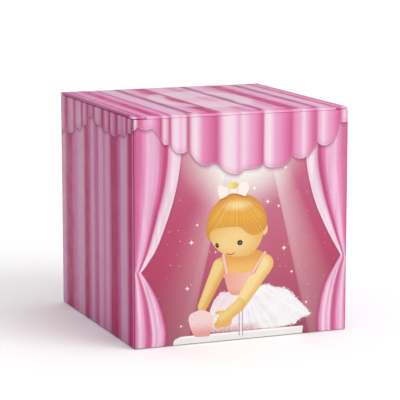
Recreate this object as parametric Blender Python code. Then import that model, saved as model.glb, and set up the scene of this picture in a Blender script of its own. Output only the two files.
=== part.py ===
"""Cube-shaped musical jewellery box with a turning dancer, in metres, +Z up.

The origin is the centre of the flat base. The front faces -Y. The case is a board
box inside a printed wrap, with a flush lid on two brass hinges along the back edge.
Behind a riser panel, under the deck, an 18-note movement hangs on the back wall. Its
key comes out at the back, and its great wheel turns the dancer's upright spindle.
"""

import math

import bmesh
import bpy
from mathutils import Matrix, Vector

# --- driving dimensions, metres ---
SIDE = 0.120                 # outside of the cube
GAP = 0.0003                 # clearance between touching pieces
CARD = 0.0004                # printed wrap
BOARD = 0.003                # wall and base boards
THIN_BOARD = 0.0024          # deck, riser, divider, well floor, lid board
LID_PLATE = 0.001            # printed lid panel
LID_NOTCH = 0.007            # slit at each end of the lid's folded front edge
LID_NOTCH_DEPTH = 0.0008
LIP_DROP = 0.010             # tuck lip below the lid board
LIP_HALF = 0.052
LIP_SETBACK = 0.0012

DECK_TOP = 0.0624
DECK_FRONT = -0.004
WELL_FLOOR_TOP = 0.0324
WELL_PAD = 0.0036
DIVIDER_X = -0.006
DIVIDER_TOP = 0.058
RING_ROLL_R = 0.0062
RING_ROLL_PITCH = 0.0148

MIRROR_HALF = 0.0437
MIRROR = 0.0016
FRAME_WIDTH = 0.006

HINGE_X = 0.038              # centre of each hinge
HINGE_WIDTH = 0.016
HINGE_R = 0.0015             # knuckle
HINGE_BORE = 0.00085
HINGE_PIN_R = 0.0006
HINGE_LEAF = 0.00065
HINGE_BELOW_TOP = 0.0016     # hinge axis below the lid's top

BED_WIDTH = 0.0520           # movement bedplate
BED_HEIGHT = 0.0415
BED = 0.003
BED_RIGHT = 0.0125
BED_BOTTOM = 0.0062

ARBOR_Y = 0.036              # cylinder axis, parallel to X
ARBOR_Z = 0.027
ARBOR_R = 0.0014
BORE = ARBOR_R + GAP
CYLINDER_R = 0.0065
CYLINDER_LEFT = -0.0145
CYLINDER_RIGHT = 0.004

GREAT_TEETH = 30
GREAT_TIP = 0.0086
GREAT_X = 0.0053
WHEEL = 0.0014               # face width of the train's wheels
PINION_TEETH = 12
PINION_TIP = 0.0035
PINION_X = -0.0185
PINION_WIDTH = 0.0025

BARREL_X = -0.02755
BARREL_R = 0.0116
BARREL_TEETH = 36
BARREL_TEETH_MEAN = 0.0103
BARREL_DEPTH = 0.0105

TAKE_OFF_TEETH = 21
TAKE_OFF_R = 0.0074
SPINDLE_R = 0.0013

SECOND_TEETH = 20
SECOND_TIP = 0.005
SECOND_PINION_TEETH = 8
SECOND_PINION_TIP = 0.0016
SECOND_X = 0.0080
WORM_R = 0.0012
FAN_R = 0.0038

KEY_HUB_R = 0.0034
KEY_WING = 0.020
KEY_DEPTH = 0.0145

STOP_X = 0.0518              # beside the mirror's frame
STOP_R = 0.0009

TUTU_R = 0.0165

# --- places worked out from them ---
HALF = SIDE / 2
WRAP_IN = HALF - CARD
BOARD_OUT = WRAP_IN - GAP
BOARD_IN = BOARD_OUT - BOARD
LID_LOW = SIDE - LID_PLATE
WRAP_TOP = LID_LOW - GAP
LID_BOARD_TOP = LID_LOW - GAP
LID_BOARD_LOW = LID_BOARD_TOP - THIN_BOARD
HINGE_Y = HALF
HINGE_Z = SIDE - HINGE_BELOW_TOP
BED_Y = BOARD_IN - 2 * GAP
BED_FRONT = BED_Y - BED
BED_LEFT = BED_RIGHT - BED_WIDTH
BED_TOP = BED_BOTTOM + BED_HEIGHT
BARREL_FACE = ARBOR_Y + PINION_TIP + GAP
SECOND_Z = ARBOR_Z - GREAT_TIP - SECOND_PINION_TIP - GAP
WORM_Y = ARBOR_Y - SECOND_TIP - WORM_R - GAP
WORM_X = SECOND_X + 0.0004
CROWN_Z = ARBOR_Z + GREAT_TIP + GAP
KEY_START = HALF + 2 * GAP
SCREW_SPOTS = ((-0.0095, 0.040), (0.0065, 0.0125), (-0.0095, 0.0125))

for old in list(bpy.data.objects):
    bpy.data.objects.remove(old, do_unlink=True)


# --- materials ---
def material(name, color, roughness, metallic=0.0):
    made = bpy.data.materials.new(name)
    made.use_nodes = True
    shader = made.node_tree.nodes["Principled BSDF"]
    shader.inputs["Base Color"].default_value = (*color, 1.0)
    shader.inputs["Roughness"].default_value = roughness
    shader.inputs["Metallic"].default_value = metallic
    return made


PRINT = material("printed_paper", (0.78, 0.30, 0.52), 0.45)
GREYBOARD = material("greyboard", (0.55, 0.50, 0.45), 0.85)
LINING = material("pink_lining", (0.86, 0.55, 0.66), 0.80)
PLUSH = material("pink_plush", (0.88, 0.48, 0.62), 0.95)
BRASS = material("brass", (0.83, 0.62, 0.27), 0.30, 1.0)
STEEL = material("steel", (0.62, 0.62, 0.64), 0.32, 1.0)
ZINC = material("cast_zinc", (0.50, 0.51, 0.53), 0.50, 1.0)
GLASS = material("mirror_glass", (0.90, 0.91, 0.92), 0.03, 1.0)
NYLON = material("white_nylon", (0.88, 0.88, 0.86), 0.50)
DOLL = material("doll_plastic", (0.92, 0.70, 0.58), 0.40)
TULLE = material("tulle", (0.95, 0.72, 0.80), 0.90)


# --- makers ---
def finish(name, mesh, look, smooth=None):
    """Turns a bmesh into a named object with its look; smooth is the sharp angle."""
    bmesh.ops.recalc_face_normals(mesh, faces=mesh.faces)
    data = bpy.data.meshes.new(name)
    mesh.to_mesh(data)
    mesh.free()
    data.materials.append(look)
    if smooth is not None:
        data.shade_smooth()
        data.set_sharp_from_angle(angle=math.radians(smooth))
    made = bpy.data.objects.new(name, data)
    bpy.context.scene.collection.objects.link(made)
    return made


def box(name, low, high, look, bevel=0.0):
    """A block from its lowest to its highest corner."""
    mesh = bmesh.new()
    low = Vector(low)
    high = Vector(high)
    size = high - low
    place = Matrix.Translation((low + high) / 2) @ Matrix.Diagonal((*size, 1.0))
    bmesh.ops.create_cube(mesh, size=1.0, matrix=place)
    if bevel:
        bmesh.ops.bevel(mesh, geom=mesh.edges[:], offset=bevel, segments=2, profile=0.5, affect="EDGES")
    return finish(name, mesh, look)


def turned(name, profile, look, place, axis="Z", segments=24):
    """A profile of (radius, height) points spun about its own Z, then laid along an axis."""
    mesh = bmesh.new()
    points = [mesh.verts.new((radius, 0.0, height)) for radius, height in profile]
    edges = [mesh.edges.new((points[i], points[i + 1])) for i in range(len(points) - 1)]
    if profile[0][0] > 0.0 and profile[-1][0] > 0.0:
        edges.append(mesh.edges.new((points[-1], points[0])))
    bmesh.ops.spin(
        mesh, geom=points + edges, cent=(0, 0, 0), axis=(0, 0, 1),
        angle=math.tau, steps=segments, use_merge=True,
    )
    bmesh.ops.remove_doubles(mesh, verts=mesh.verts[:], dist=1e-6)
    made = finish(name, mesh, look, smooth=35)
    lay(made, axis, place)
    return made


def lay(made, axis, place):
    """Points an object's own Z along a world axis and puts its origin in place."""
    turns = {"Z": (0, 0, 0), "X": (0, math.pi / 2, 0), "Y": (-math.pi / 2, 0, 0)}
    made.rotation_euler = turns[axis]
    made.location = place


def rod(name, radius, start, length, look, axis="Z", segments=16):
    """A round bar from start along an axis."""
    profile = ((0.0, 0.0), (radius, 0.0), (radius, length), (0.0, length))
    return turned(name, profile, look, start, axis, segments)


def wheel(name, teeth, tip, root, bore, width, look, place, axis, crown=0.0):
    """A toothed ring: spur teeth from root to tip, or crown teeth raised on its far face."""
    mesh = bmesh.new()
    count = teeth * 4
    rows = []
    for step in range(count):
        angle = math.tau * step / count
        raised = step % 4 in (0, 1)
        outer = tip if raised else root
        far = width + crown if raised and crown else width
        spot = (math.cos(angle), math.sin(angle))
        rows.append([
            mesh.verts.new((bore * spot[0], bore * spot[1], 0.0)),
            mesh.verts.new((outer * spot[0], outer * spot[1], 0.0)),
            mesh.verts.new((outer * spot[0], outer * spot[1], far)),
            mesh.verts.new((bore * spot[0], bore * spot[1], far)),
        ])
    for step in range(count):
        here = rows[step]
        there = rows[(step + 1) % count]
        for side in range(4):
            after = (side + 1) % 4
            mesh.faces.new((here[side], there[side], there[after], here[after]))
    made = finish(name, mesh, look)
    lay(made, axis, place)
    return made


def guide(made):
    """Hides a piece that only shapes another."""
    made.hide_render = True
    made.display_type = "WIRE"
    return made


def combine(target, tools, operation):
    """Cuts or joins hidden guides with a target."""
    for tool in tools:
        step = target.modifiers.new(operation.lower(), "BOOLEAN")
        step.operation = operation
        step.solver = "EXACT"
        step.object = guide(tool)
    return target


# --- case ---
def make_case():
    side_run = BOARD_IN - GAP
    floor = BOARD + GAP
    rim = WRAP_TOP - GAP
    box("base_panel", (-BOARD_OUT, -BOARD_OUT, 0), (BOARD_OUT, BOARD_OUT, BOARD), GREYBOARD)
    box("front_board", (-BOARD_OUT, -BOARD_OUT, floor), (BOARD_OUT, -BOARD_IN, rim), GREYBOARD)
    back = box("back_board", (-BOARD_OUT, BOARD_IN, floor), (BOARD_OUT, BOARD_OUT, rim), GREYBOARD)
    box("left_board", (-BOARD_OUT, -side_run, floor), (-BOARD_IN, side_run, rim), GREYBOARD)
    box("right_board", (BOARD_IN, -side_run, floor), (BOARD_OUT, side_run, rim), GREYBOARD)
    sleeve = box("wrap_sleeve", (-HALF, -HALF, CARD), (HALF, HALF, WRAP_TOP), PRINT)
    hollow = box("sleeve_hollow", (-WRAP_IN, -WRAP_IN, -CARD), (WRAP_IN, WRAP_IN, SIDE), PRINT)
    combine(sleeve, [hollow], "DIFFERENCE")
    notch_low = HINGE_Z - HINGE_R - 4 * GAP
    cuts = [hinge_notch("wall_notch", side, BOARD_IN - GAP, notch_low) for side in (-1, 1)]
    cuts += [back_hole("screw_hole", x, z, 0.0016) for x, z in SCREW_SPOTS]
    cuts.append(back_hole("key_hole", BARREL_X, ARBOR_Z, 0.0030))
    combine(back, cuts, "DIFFERENCE")
    combine(sleeve, cuts, "DIFFERENCE")


def hinge_notch(name, side, front, low):
    """The room that one hinge takes out of the back edge, open upwards and to the back."""
    half = HINGE_WIDTH / 2 + GAP
    centre = side * HINGE_X
    return box(name, (centre - half, front, low), (centre + half, SIDE, 2 * SIDE), BRASS)


def back_hole(name, x, z, radius):
    """A round hole through the back wall and its wrap."""
    return rod(name, radius, (x, BOARD_IN - BOARD, z), 3 * BOARD, STEEL, "Y", 20)


# --- interior ---
def make_interior():
    inner = BOARD_IN - GAP
    deck = box("deck", (-inner, DECK_FRONT, DECK_TOP - THIN_BOARD), (inner, inner, DECK_TOP), LINING)
    through = DECK_TOP - 2 * THIN_BOARD
    reach = 4 * THIN_BOARD
    holes = [
        rod("spindle_hole", SPINDLE_R + 3 * GAP, (0, ARBOR_Y, through), reach, STEEL),
        rod("stop_hole", STOP_R + 2 * GAP, (STOP_X, WORM_Y, through), reach, STEEL),
    ]
    combine(deck, holes, "DIFFERENCE")
    riser_top = DECK_TOP - THIN_BOARD - GAP
    floor = BOARD + GAP
    box("deck_riser", (-inner, DECK_FRONT, floor), (inner, DECK_FRONT + THIN_BOARD, riser_top), LINING)
    back_edge = DECK_FRONT - GAP
    low = WELL_FLOOR_TOP - THIN_BOARD
    box("well_floor", (-inner, -inner, low), (inner, back_edge, WELL_FLOOR_TOP), LINING)
    pad_low = WELL_FLOOR_TOP + GAP
    pad_top = pad_low + WELL_PAD
    box("well_pad", (-inner, -inner, pad_low), (inner, back_edge, pad_top), PLUSH, bevel=0.0009)
    box(
        "well_divider", (DIVIDER_X, -inner, pad_top + GAP),
        (DIVIDER_X + THIN_BOARD, back_edge, DIVIDER_TOP), LINING,
    )
    left = -inner + GAP
    length = DIVIDER_X - GAP - left
    middle = (-inner + back_edge) / 2
    for index in range(3):
        place = (left, middle + (index - 1) * RING_ROLL_PITCH, pad_top + GAP + RING_ROLL_R)
        rod(f"ring_roll_{index + 1}", RING_ROLL_R, place, length, PLUSH, "X", 20)
    collar = ((0.0032, 0.0), (0.009, 0.0), (0.009, 0.0010), (0.0078, 0.0016), (0.0032, 0.0016))
    turned("stage_collar", collar, BRASS, (0, ARBOR_Y, DECK_TOP + GAP), segments=32)


# --- lid ---
def make_lid():
    plate = box("lid_plate", (-HALF, -HALF, LID_LOW), (HALF, HALF, SIDE), PRINT)
    plate_front = HALF - HINGE_R - 2 * GAP
    cuts = [hinge_notch("plate_notch", side, plate_front, LID_LOW - LID_PLATE) for side in (-1, 1)]
    for side in (-1, 1):
        outer = side * (HALF + LID_NOTCH)
        inner = side * (HALF - LID_NOTCH)
        low = (min(outer, inner), -HALF - BOARD, LID_LOW - LID_PLATE)
        high = (max(outer, inner), -HALF + LID_NOTCH_DEPTH, 2 * SIDE)
        cuts.append(box("slit_notch", low, high, PRINT))
    combine(plate, cuts, "DIFFERENCE")

    edge = BOARD_IN - 0.0008
    back = HINGE_Y - 0.0065
    board = box("lid_board", (-edge, -edge, LID_BOARD_LOW), (edge, back, LID_BOARD_TOP), LINING)
    mortises = []
    for side in (-1, 1):
        half = HINGE_WIDTH / 2 + GAP
        low = (side * HINGE_X - half, back - 0.0105, LID_BOARD_LOW - BOARD)
        high = (side * HINGE_X + half, back + BOARD, LID_BOARD_TOP + BOARD)
        mortises.append(box("hinge_mortise", low, high, LINING))
    combine(board, mortises, "DIFFERENCE")

    lip_top = LID_BOARD_LOW - GAP
    lip_front = -BOARD_IN + LIP_SETBACK
    box(
        "tuck_lip", (-LIP_HALF, lip_front, lip_top - LIP_DROP),
        (LIP_HALF, lip_front + LID_PLATE, lip_top), PRINT,
    )

    top = LID_BOARD_LOW - GAP
    middle = -0.003
    outside = MIRROR_HALF + FRAME_WIDTH
    inside = MIRROR_HALF + GAP
    frame = box(
        "mirror_frame", (-outside, middle - outside, top - THIN_BOARD),
        (outside, middle + outside, top), LINING, bevel=0.0006,
    )
    hollow = box(
        "frame_hollow", (-inside, middle - inside, top - SIDE),
        (inside, middle + inside, top + BOARD), LINING,
    )
    combine(frame, [hollow], "DIFFERENCE")
    box(
        "mirror", (-MIRROR_HALF, middle - MIRROR_HALF, top - MIRROR),
        (MIRROR_HALF, middle + MIRROR_HALF, top), GLASS,
    )


# --- hinges ---
def make_hinges():
    for side, word in ((-1, "left"), (1, "right")):
        start = side * HINGE_X - HINGE_WIDTH / 2
        end = start + HINGE_WIDTH
        third = HINGE_WIDTH / 3
        fixed_leaf(f"hinge_fixed_leaf_{word}", start, end, third)
        lid_leaf(f"hinge_lid_leaf_{word}", start, end, third)
        rod(f"hinge_pin_{word}", HINGE_PIN_R, (start, HINGE_Y, HINGE_Z), HINGE_WIDTH, STEEL, "X", 12)
        for index in (0, 1):
            x = side * HINGE_X + (index - 0.5) * HINGE_WIDTH / 2
            depth = 0.0007
            head = ((0.0, 0.0), (0.0012, 0.0), (0.0017, depth / 2), (0.0017, depth), (0.0, depth))
            spot = (x, BOARD_IN - 2 * GAP - HINGE_LEAF - depth, HINGE_Z - 0.0072)
            number = index + (1 if side < 0 else 3)
            turned(f"hinge_screw_{number}", head, STEEL, spot, "Y", 16)


def knuckle(name, start, length):
    """One rolled barrel of a hinge about the hinge axis."""
    profile = ((HINGE_BORE, 0.0), (HINGE_R, 0.0), (HINGE_R, length), (HINGE_BORE, length))
    return turned(name, profile, BRASS, (start, HINGE_Y, HINGE_Z), "X", 20)


def fixed_leaf(name, start, end, third):
    """Leaf that runs over the notched wall and down its inner face, with two outer barrels."""
    inner = BOARD_IN - GAP
    low = HINGE_Z - HINGE_R
    leaf = box(name, (start, inner - HINGE_LEAF, low - 0.0095), (end, inner, low + HINGE_LEAF), BRASS)
    overlap = (HINGE_R + HINGE_BORE) / 2
    bridge = box(
        "leaf_bridge", (start, inner - HINGE_LEAF / 2, low),
        (end, HINGE_Y + HINGE_R * 0.25, low + HINGE_LEAF * 0.8), BRASS,
    )
    room = box(
        "barrel_room", (start + third - GAP, HINGE_Y - HINGE_R - 2 * GAP, low - BOARD),
        (end - third + GAP, HINGE_Y + 2 * HINGE_R, low + BOARD + overlap), BRASS,
    )
    barrels = [
        knuckle("outer_barrel", start, third - GAP),
        knuckle("outer_barrel", end - third + GAP, third - GAP),
    ]
    combine(leaf, [bridge], "UNION")
    combine(leaf, [room], "DIFFERENCE")
    combine(leaf, barrels, "UNION")


def lid_leaf(name, start, end, third):
    """Flat leaf in the lid board's mortise, with the middle barrel."""
    reach = HINGE_Y - (HINGE_R + HINGE_BORE) / 2
    front = HINGE_Y - 0.0162
    half = HINGE_LEAF / 2
    back = HINGE_Y - HINGE_R - 2 * GAP
    leaf = box(name, (start, front, HINGE_Z - half), (end, back, HINGE_Z + half), BRASS)
    tongue = box(
        "leaf_tongue", (start + third, front + HINGE_R, HINGE_Z - half * 0.8),
        (end - third, reach, HINGE_Z + half * 0.8), BRASS,
    )
    combine(leaf, [tongue, knuckle("middle_barrel", start + third, third)], "UNION")


# --- movement ---
def make_movement():
    bed = box("bedplate", (BED_LEFT, BED_FRONT, BED_BOTTOM), (BED_RIGHT, BED_Y, BED_TOP), ZINC)
    block = box(
        "comb_block", (CYLINDER_LEFT, ARBOR_Y + 2 * GAP, BED_BOTTOM + 0.0015),
        (CYLINDER_RIGHT, BED_FRONT + BED / 2, BED_BOTTOM + 0.0065), ZINC,
    )
    combine(bed, [block], "UNION")
    holes = [back_hole("bed_hole", x, z, 0.0016) for x, z in SCREW_SPOTS]
    holes.append(back_hole("arbor_hole", BARREL_X, ARBOR_Z, BORE))
    for hole in holes:
        hole.location.y -= BOARD
    combine(bed, holes, "DIFFERENCE")
    make_comb()
    make_cylinder()
    make_barrel()
    make_winder()
    make_second_wheel()
    make_governor()
    make_bearings()
    for index, (x, z) in enumerate(SCREW_SPOTS):
        head = 0.0026
        shank = 0.0012
        start = BED_FRONT + 0.0004
        face = HALF + GAP - start
        profile = (
            (0.0, 0.0), (shank, 0.0), (shank, face), (head, face),
            (head, face + 0.0007), (head * 0.6, face + 0.0013), (0.0, face + 0.0013),
        )
        turned(f"movement_screw_{index + 1}", profile, STEEL, (x, start, z), "Y", 20)


def make_comb():
    """Steel comb below the cylinder: one tooth for each note, tips just under the pins."""
    notes = 18
    left = CYLINDER_LEFT + GAP
    width = CYLINDER_RIGHT - GAP - left
    tip = ARBOR_Z - CYLINDER_R - GAP
    root = BED_BOTTOM + 0.0075
    foot = BED_BOTTOM + 0.0015
    pitch = width / notes
    front = ARBOR_Y - 0.0007
    slot = pitch * 0.15
    outline = [(left, foot), (left + width, foot), (left + width, tip)]
    for note in range(notes - 1, 0, -1):
        x = left + note * pitch
        outline += [(x + slot, tip), (x + slot, root), (x - slot, root), (x - slot, tip)]
    outline.append((left, tip))
    mesh = bmesh.new()
    face = mesh.faces.new([mesh.verts.new((x, front, z)) for x, z in outline])
    grown = bmesh.ops.extrude_face_region(mesh, geom=[face])
    moved = [item for item in grown["geom"] if isinstance(item, bmesh.types.BMVert)]
    bmesh.ops.translate(mesh, verts=moved, vec=(0, 0.0010, 0))
    finish("comb", mesh, STEEL)
    for index in (0, 1):
        x = left + width * (0.25 + 0.5 * index)
        spot = (x, front - GAP - 0.0012, (foot + root) / 2 - 0.0005)
        profile = ((0.0, 0.0), (0.0011, 0.0), (0.0016, 0.0005), (0.0016, 0.0012), (0.0, 0.0012))
        turned(f"comb_screw_{index + 1}", profile, STEEL, spot, "Y", 16)


def make_cylinder():
    length = CYLINDER_RIGHT - CYLINDER_LEFT
    profile = ((BORE, 0.0), (CYLINDER_R, 0.0), (CYLINDER_R, length), (BORE, length))
    turned("cylinder", profile, BRASS, (CYLINDER_LEFT, ARBOR_Y, ARBOR_Z), "X", 28)
    start = PINION_X - 0.0035
    end = BED_RIGHT - 0.0004
    rod("cylinder_arbor", ARBOR_R, (start, ARBOR_Y, ARBOR_Z), end - start, STEEL, "X")
    wheel(
        "cylinder_pinion", PINION_TEETH, PINION_TIP, PINION_TIP - 0.0008, BORE,
        PINION_WIDTH, BRASS, (PINION_X, ARBOR_Y, ARBOR_Z), "X",
    )
    wheel(
        "great_wheel", GREAT_TEETH, GREAT_TIP, GREAT_TIP - 0.0010, BORE,
        WHEEL, BRASS, (GREAT_X, ARBOR_Y, ARBOR_Z), "X",
    )


def make_barrel():
    """Spring barrel on the winding arbor, crown gear towards the cylinder's pinion."""
    crown = 0.0006
    gear_width = 0.0014
    face = BARREL_FACE + crown + gear_width
    gear = wheel(
        "barrel_gear", BARREL_TEETH, BARREL_R - 0.0001, BARREL_R - 0.0001, BARREL_TEETH_MEAN - 0.0013,
        gear_width, BRASS, (BARREL_X, face, ARBOR_Z), "Y", crown,
    )
    gear.rotation_euler = (math.pi / 2, 0, 0)
    wall = BARREL_R - 0.0010
    floor = 0.0010
    profile = (
        (BORE, 0.0), (BARREL_R, 0.0), (BARREL_R, BARREL_DEPTH),
        (wall, BARREL_DEPTH), (wall, floor), (BORE, floor),
    )
    turned("barrel_drum", profile, BRASS, (BARREL_X, face + GAP, ARBOR_Z), "Y", 36)


def make_winder():
    """Arbor, mainspring on the arbor, and the butterfly key at the back."""
    crown_and_gear = 0.0020
    spring_low = BARREL_FACE + crown_and_gear + GAP + 0.0010 + GAP
    spring_width = BARREL_DEPTH - 0.0010 - 3 * GAP
    turns = 4
    steps = 20 * turns
    inner = ARBOR_R + 2 * GAP
    outer = BARREL_R - 0.0010 - 2 * GAP
    band = 0.0004
    mesh = bmesh.new()
    rows = []
    for step in range(steps + 1):
        part = step / steps
        angle = math.tau * turns * part
        radius = inner + (outer - band - inner) * part
        rows.append([
            mesh.verts.new((reach * math.cos(angle), level, reach * math.sin(angle)))
            for reach, level in (
                (radius, 0.0), (radius + band, 0.0),
                (radius + band, spring_width), (radius, spring_width),
            )
        ])
    for step in range(steps):
        for side in range(4):
            after = (side + 1) % 4
            mesh.faces.new((rows[step][side], rows[step + 1][side], rows[step + 1][after], rows[step][after]))
    mesh.faces.new(rows[0])
    mesh.faces.new(rows[-1])
    spring = finish("mainspring", mesh, STEEL)
    spring.location = (BARREL_X, spring_low, ARBOR_Z)

    arbor_start = BARREL_FACE + crown_and_gear - 0.0008
    key_bore = ARBOR_R + GAP
    hub = 0.0065
    length = KEY_START + hub - 0.0016 - arbor_start
    rod("winding_arbor", ARBOR_R, (BARREL_X, arbor_start, ARBOR_Z), length, STEEL, "Y")
    round_edge = 0.0006
    profile = (
        (key_bore, 0.0), (KEY_HUB_R, 0.0), (KEY_HUB_R, hub - round_edge),
        (KEY_HUB_R - round_edge, hub), (key_bore, hub),
    )
    key = turned("winding_key", profile, BRASS, (BARREL_X, KEY_START, ARBOR_Z), "Y", 24)
    combine(key, [key_wing(hub)], "UNION")


def key_wing(hub):
    """Two round lobes joined by a waist, standing off the hub."""
    thick = 0.0016
    lobe = 0.0046
    reach = KEY_WING / 2 - lobe
    back = KEY_START + KEY_DEPTH
    outline = []
    steps = 14
    for index in range(steps + 1):
        angle = -math.pi * 0.62 + math.pi * 1.24 * index / steps
        outline.append((reach + lobe * math.cos(angle), lobe * math.sin(angle)))
    mirrored = [(-x, -y) for x, y in outline]
    centre = back - lobe
    mesh = bmesh.new()
    low = KEY_START + hub - 0.0014
    ring = [(x, centre + y) for x, y in outline] + [(x, centre + y) for x, y in mirrored]
    points = [mesh.verts.new((x, max(y, low), -thick / 2)) for x, y in ring]
    face = mesh.faces.new(points)
    grown = bmesh.ops.extrude_face_region(mesh, geom=[face])
    moved = [item for item in grown["geom"] if isinstance(item, bmesh.types.BMVert)]
    bmesh.ops.translate(mesh, verts=moved, vec=(0, 0, thick))
    wing = finish("key_wing", mesh, BRASS)
    wing.location = (BARREL_X, 0, ARBOR_Z)
    return wing


def make_second_wheel():
    """Pinion under the great wheel and worm wheel beside it, on one arbor."""
    start = GREAT_X - 0.0002
    pinion = wheel(
        "second_pinion", SECOND_PINION_TEETH, SECOND_PINION_TIP, SECOND_PINION_TIP - 0.0004, 0.0004,
        SECOND_X + 0.0002 - start, BRASS, (start, ARBOR_Y, SECOND_Z), "X",
    )
    rim = wheel(
        "second_wheel", SECOND_TEETH, SECOND_TIP, SECOND_TIP - 0.0006, 0.0006,
        0.0008, BRASS, (SECOND_X, ARBOR_Y, SECOND_Z), "X",
    )
    combine(rim, [pinion], "UNION")


def make_governor():
    """Upright worm shaft, with the air fan on its lower end."""
    low = BED_BOTTOM + 0.0014
    top = SECOND_Z + SECOND_TIP + 0.0009
    length = top - low
    shaft = 0.0005
    worm_low = SECOND_Z - 0.0024 - low
    worm_high = SECOND_Z + 0.0024 - low
    profile = [(0.0, 0.0), (shaft, 0.0), (shaft, worm_low)]
    ribs = 5
    rib = (worm_high - worm_low) / ribs
    for index in range(ribs):
        start = worm_low + index * rib
        valley = WORM_R - 0.0003
        profile += [(valley, start), (WORM_R, start + rib * 0.35), (WORM_R, start + rib * 0.65)]
    profile.append((valley, worm_high))
    profile += [(shaft, worm_high), (shaft, length), (0.0, length)]
    turned("governor_worm", profile, STEEL, (WORM_X, WORM_Y, low), "Z", 16)
    fan_low = low + 0.0010
    fan_high = fan_low + 0.0032
    fan = turned(
        "air_fan",
        ((shaft + GAP, 0.0), (0.0014, 0.0), (0.0014, fan_high - fan_low), (shaft + GAP, fan_high - fan_low)),
        NYLON, (WORM_X, WORM_Y, fan_low), "Z", 16,
    )
    blades = [
        box(
            "fan_blade", (WORM_X + side * 0.0024 - 0.0014, WORM_Y - 0.0003, fan_low + 0.0002),
            (WORM_X + side * 0.0024 + 0.0014, WORM_Y + 0.0003, fan_high - 0.0002), NYLON,
        )
        for side in (-1, 1)
    ]
    combine(fan, blades, "UNION")


def make_bearings():
    """Posts from the bedplate: one each side of the cylinder, and the governor's frame."""
    posts = (("bearing_left", CYLINDER_LEFT - 0.0014, 0.0010), ("bearing_right", BED_RIGHT - 0.0020, 0.0012))
    for name, x, width in posts:
        post = box(
            name, (x, ARBOR_Y - 0.0028, ARBOR_Z - 0.0028),
            (x + width, BED_FRONT - GAP, ARBOR_Z + 0.0028), BRASS,
        )
        seat = rod("bearing_seat", ARBOR_R + GAP, (x - BOARD, ARBOR_Y, ARBOR_Z), 3 * BOARD, BRASS, "X")
        combine(post, [seat], "DIFFERENCE")
    top = SECOND_Z + SECOND_TIP + 0.0014
    half = WORM_R
    frame = box(
        "governor_frame", (WORM_X - half, WORM_Y - half, top - 0.0010),
        (WORM_X + half, BED_FRONT - GAP, top), BRASS,
    )
    seat = rod("worm_seat", 0.0005 + GAP, (WORM_X, WORM_Y, top - BOARD), 2 * BOARD, BRASS, "Z", 12)
    combine(frame, [seat], "DIFFERENCE")


# --- dancer ---
def make_dancer():
    wheel(
        "take_off_wheel", TAKE_OFF_TEETH, TAKE_OFF_R, TAKE_OFF_R, SPINDLE_R + GAP,
        0.0012, NYLON, (0, ARBOR_Y, CROWN_Z + 0.0018), "Z", 0.0006,
    ).rotation_euler = (math.pi, 0, 0)
    spindle_low = CROWN_Z - 0.0004
    spindle_top = DECK_TOP + 0.0045
    rod("spindle", SPINDLE_R, (0, ARBOR_Y, spindle_low), spindle_top - spindle_low, STEEL)
    coil_low = spindle_top + GAP
    coil_top = coil_low + 0.0065
    make_spring(coil_low, coil_top)
    foot = coil_top + GAP
    waist = foot + 0.0145
    chest = waist + 0.0072
    neck = chest + 0.0024
    head = neck + 0.0034
    tutu_low = waist - 0.0034
    figure = (
        (0.0, foot), (0.0010, foot), (0.0014, foot + 0.0030), (0.0018, foot + 0.0070),
        (0.0023, tutu_low - GAP), (0.0019, waist), (0.0029, chest - 0.0020), (0.0026, chest),
        (0.0010, chest + 0.0010), (0.0010, neck), (0.0023, neck + 0.0010), (0.0027, head),
        (0.0022, head + 0.0022), (0.0015, head + 0.0032), (0.0016, head + 0.0042),
        (0.0009, head + 0.0050), (0.0, head + 0.0052),
    )
    profile = [(radius, height - foot) for radius, height in figure]
    turned("dancer_figure", profile, DOLL, (0, ARBOR_Y, foot), segments=20)
    ring = 0.0027
    skirt = (
        (ring, 0.0022), (ring, 0.0034), (TUTU_R * 0.6, 0.0030),
        (TUTU_R, 0.0014), (TUTU_R, 0.0006), (TUTU_R * 0.6, 0.0010),
    )
    turned("dancer_tutu", skirt, TULLE, (0, ARBOR_Y, tutu_low), segments=28)


def make_spring(low, top):
    """Close coil that lets the dancer sway, as a round wire on a helix."""
    turns = 5
    per_turn = 12
    wire = 0.00035
    radius = 0.0015
    curve = bpy.data.curves.new("dancer_spring", "CURVE")
    curve.dimensions = "3D"
    curve.bevel_depth = wire
    curve.bevel_resolution = 0
    curve.use_fill_caps = True
    curve.materials.append(STEEL)
    run = curve.splines.new("POLY")
    count = turns * per_turn
    run.points.add(count)
    for index in range(count + 1):
        angle = math.tau * index / per_turn
        height = low + wire + (top - low - 2 * wire) * index / count
        run.points[index].co = (radius * math.cos(angle), ARBOR_Y + radius * math.sin(angle), height, 1.0)
    coil = bpy.data.objects.new("dancer_spring", curve)
    bpy.context.scene.collection.objects.link(coil)


# --- stop rod ---
def make_stop():
    """Wire that the lid pushes down; its foot brakes the governor fan."""
    top = LID_BOARD_LOW - GAP
    fan_high = BED_BOTTOM + 0.0014 + 0.0010 + 0.0032
    low = fan_high + GAP
    wire = turned(
        "stop_rod",
        (
            (0.0, 0.0), (STOP_R, 0.0), (STOP_R, top - low - 0.0016), (STOP_R * 1.8, top - low - 0.0014),
            (STOP_R * 1.8, top - low - 0.0002), (STOP_R * 1.4, top - low), (0.0, top - low),
        ),
        BRASS, (STOP_X, WORM_Y, low), "Z", 16,
    )
    foot = box(
        "stop_foot", (WORM_X + FAN_R - 0.0012, WORM_Y - 0.0006, low),
        (STOP_X, WORM_Y + 0.0006, low + 0.0010), BRASS,
    )
    combine(wire, [foot], "UNION")


make_case()
make_interior()
make_lid()
make_hinges()
make_movement()
make_dancer()
make_stop()
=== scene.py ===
import math

import bmesh
import bpy
from mathutils import Matrix, Vector


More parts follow.
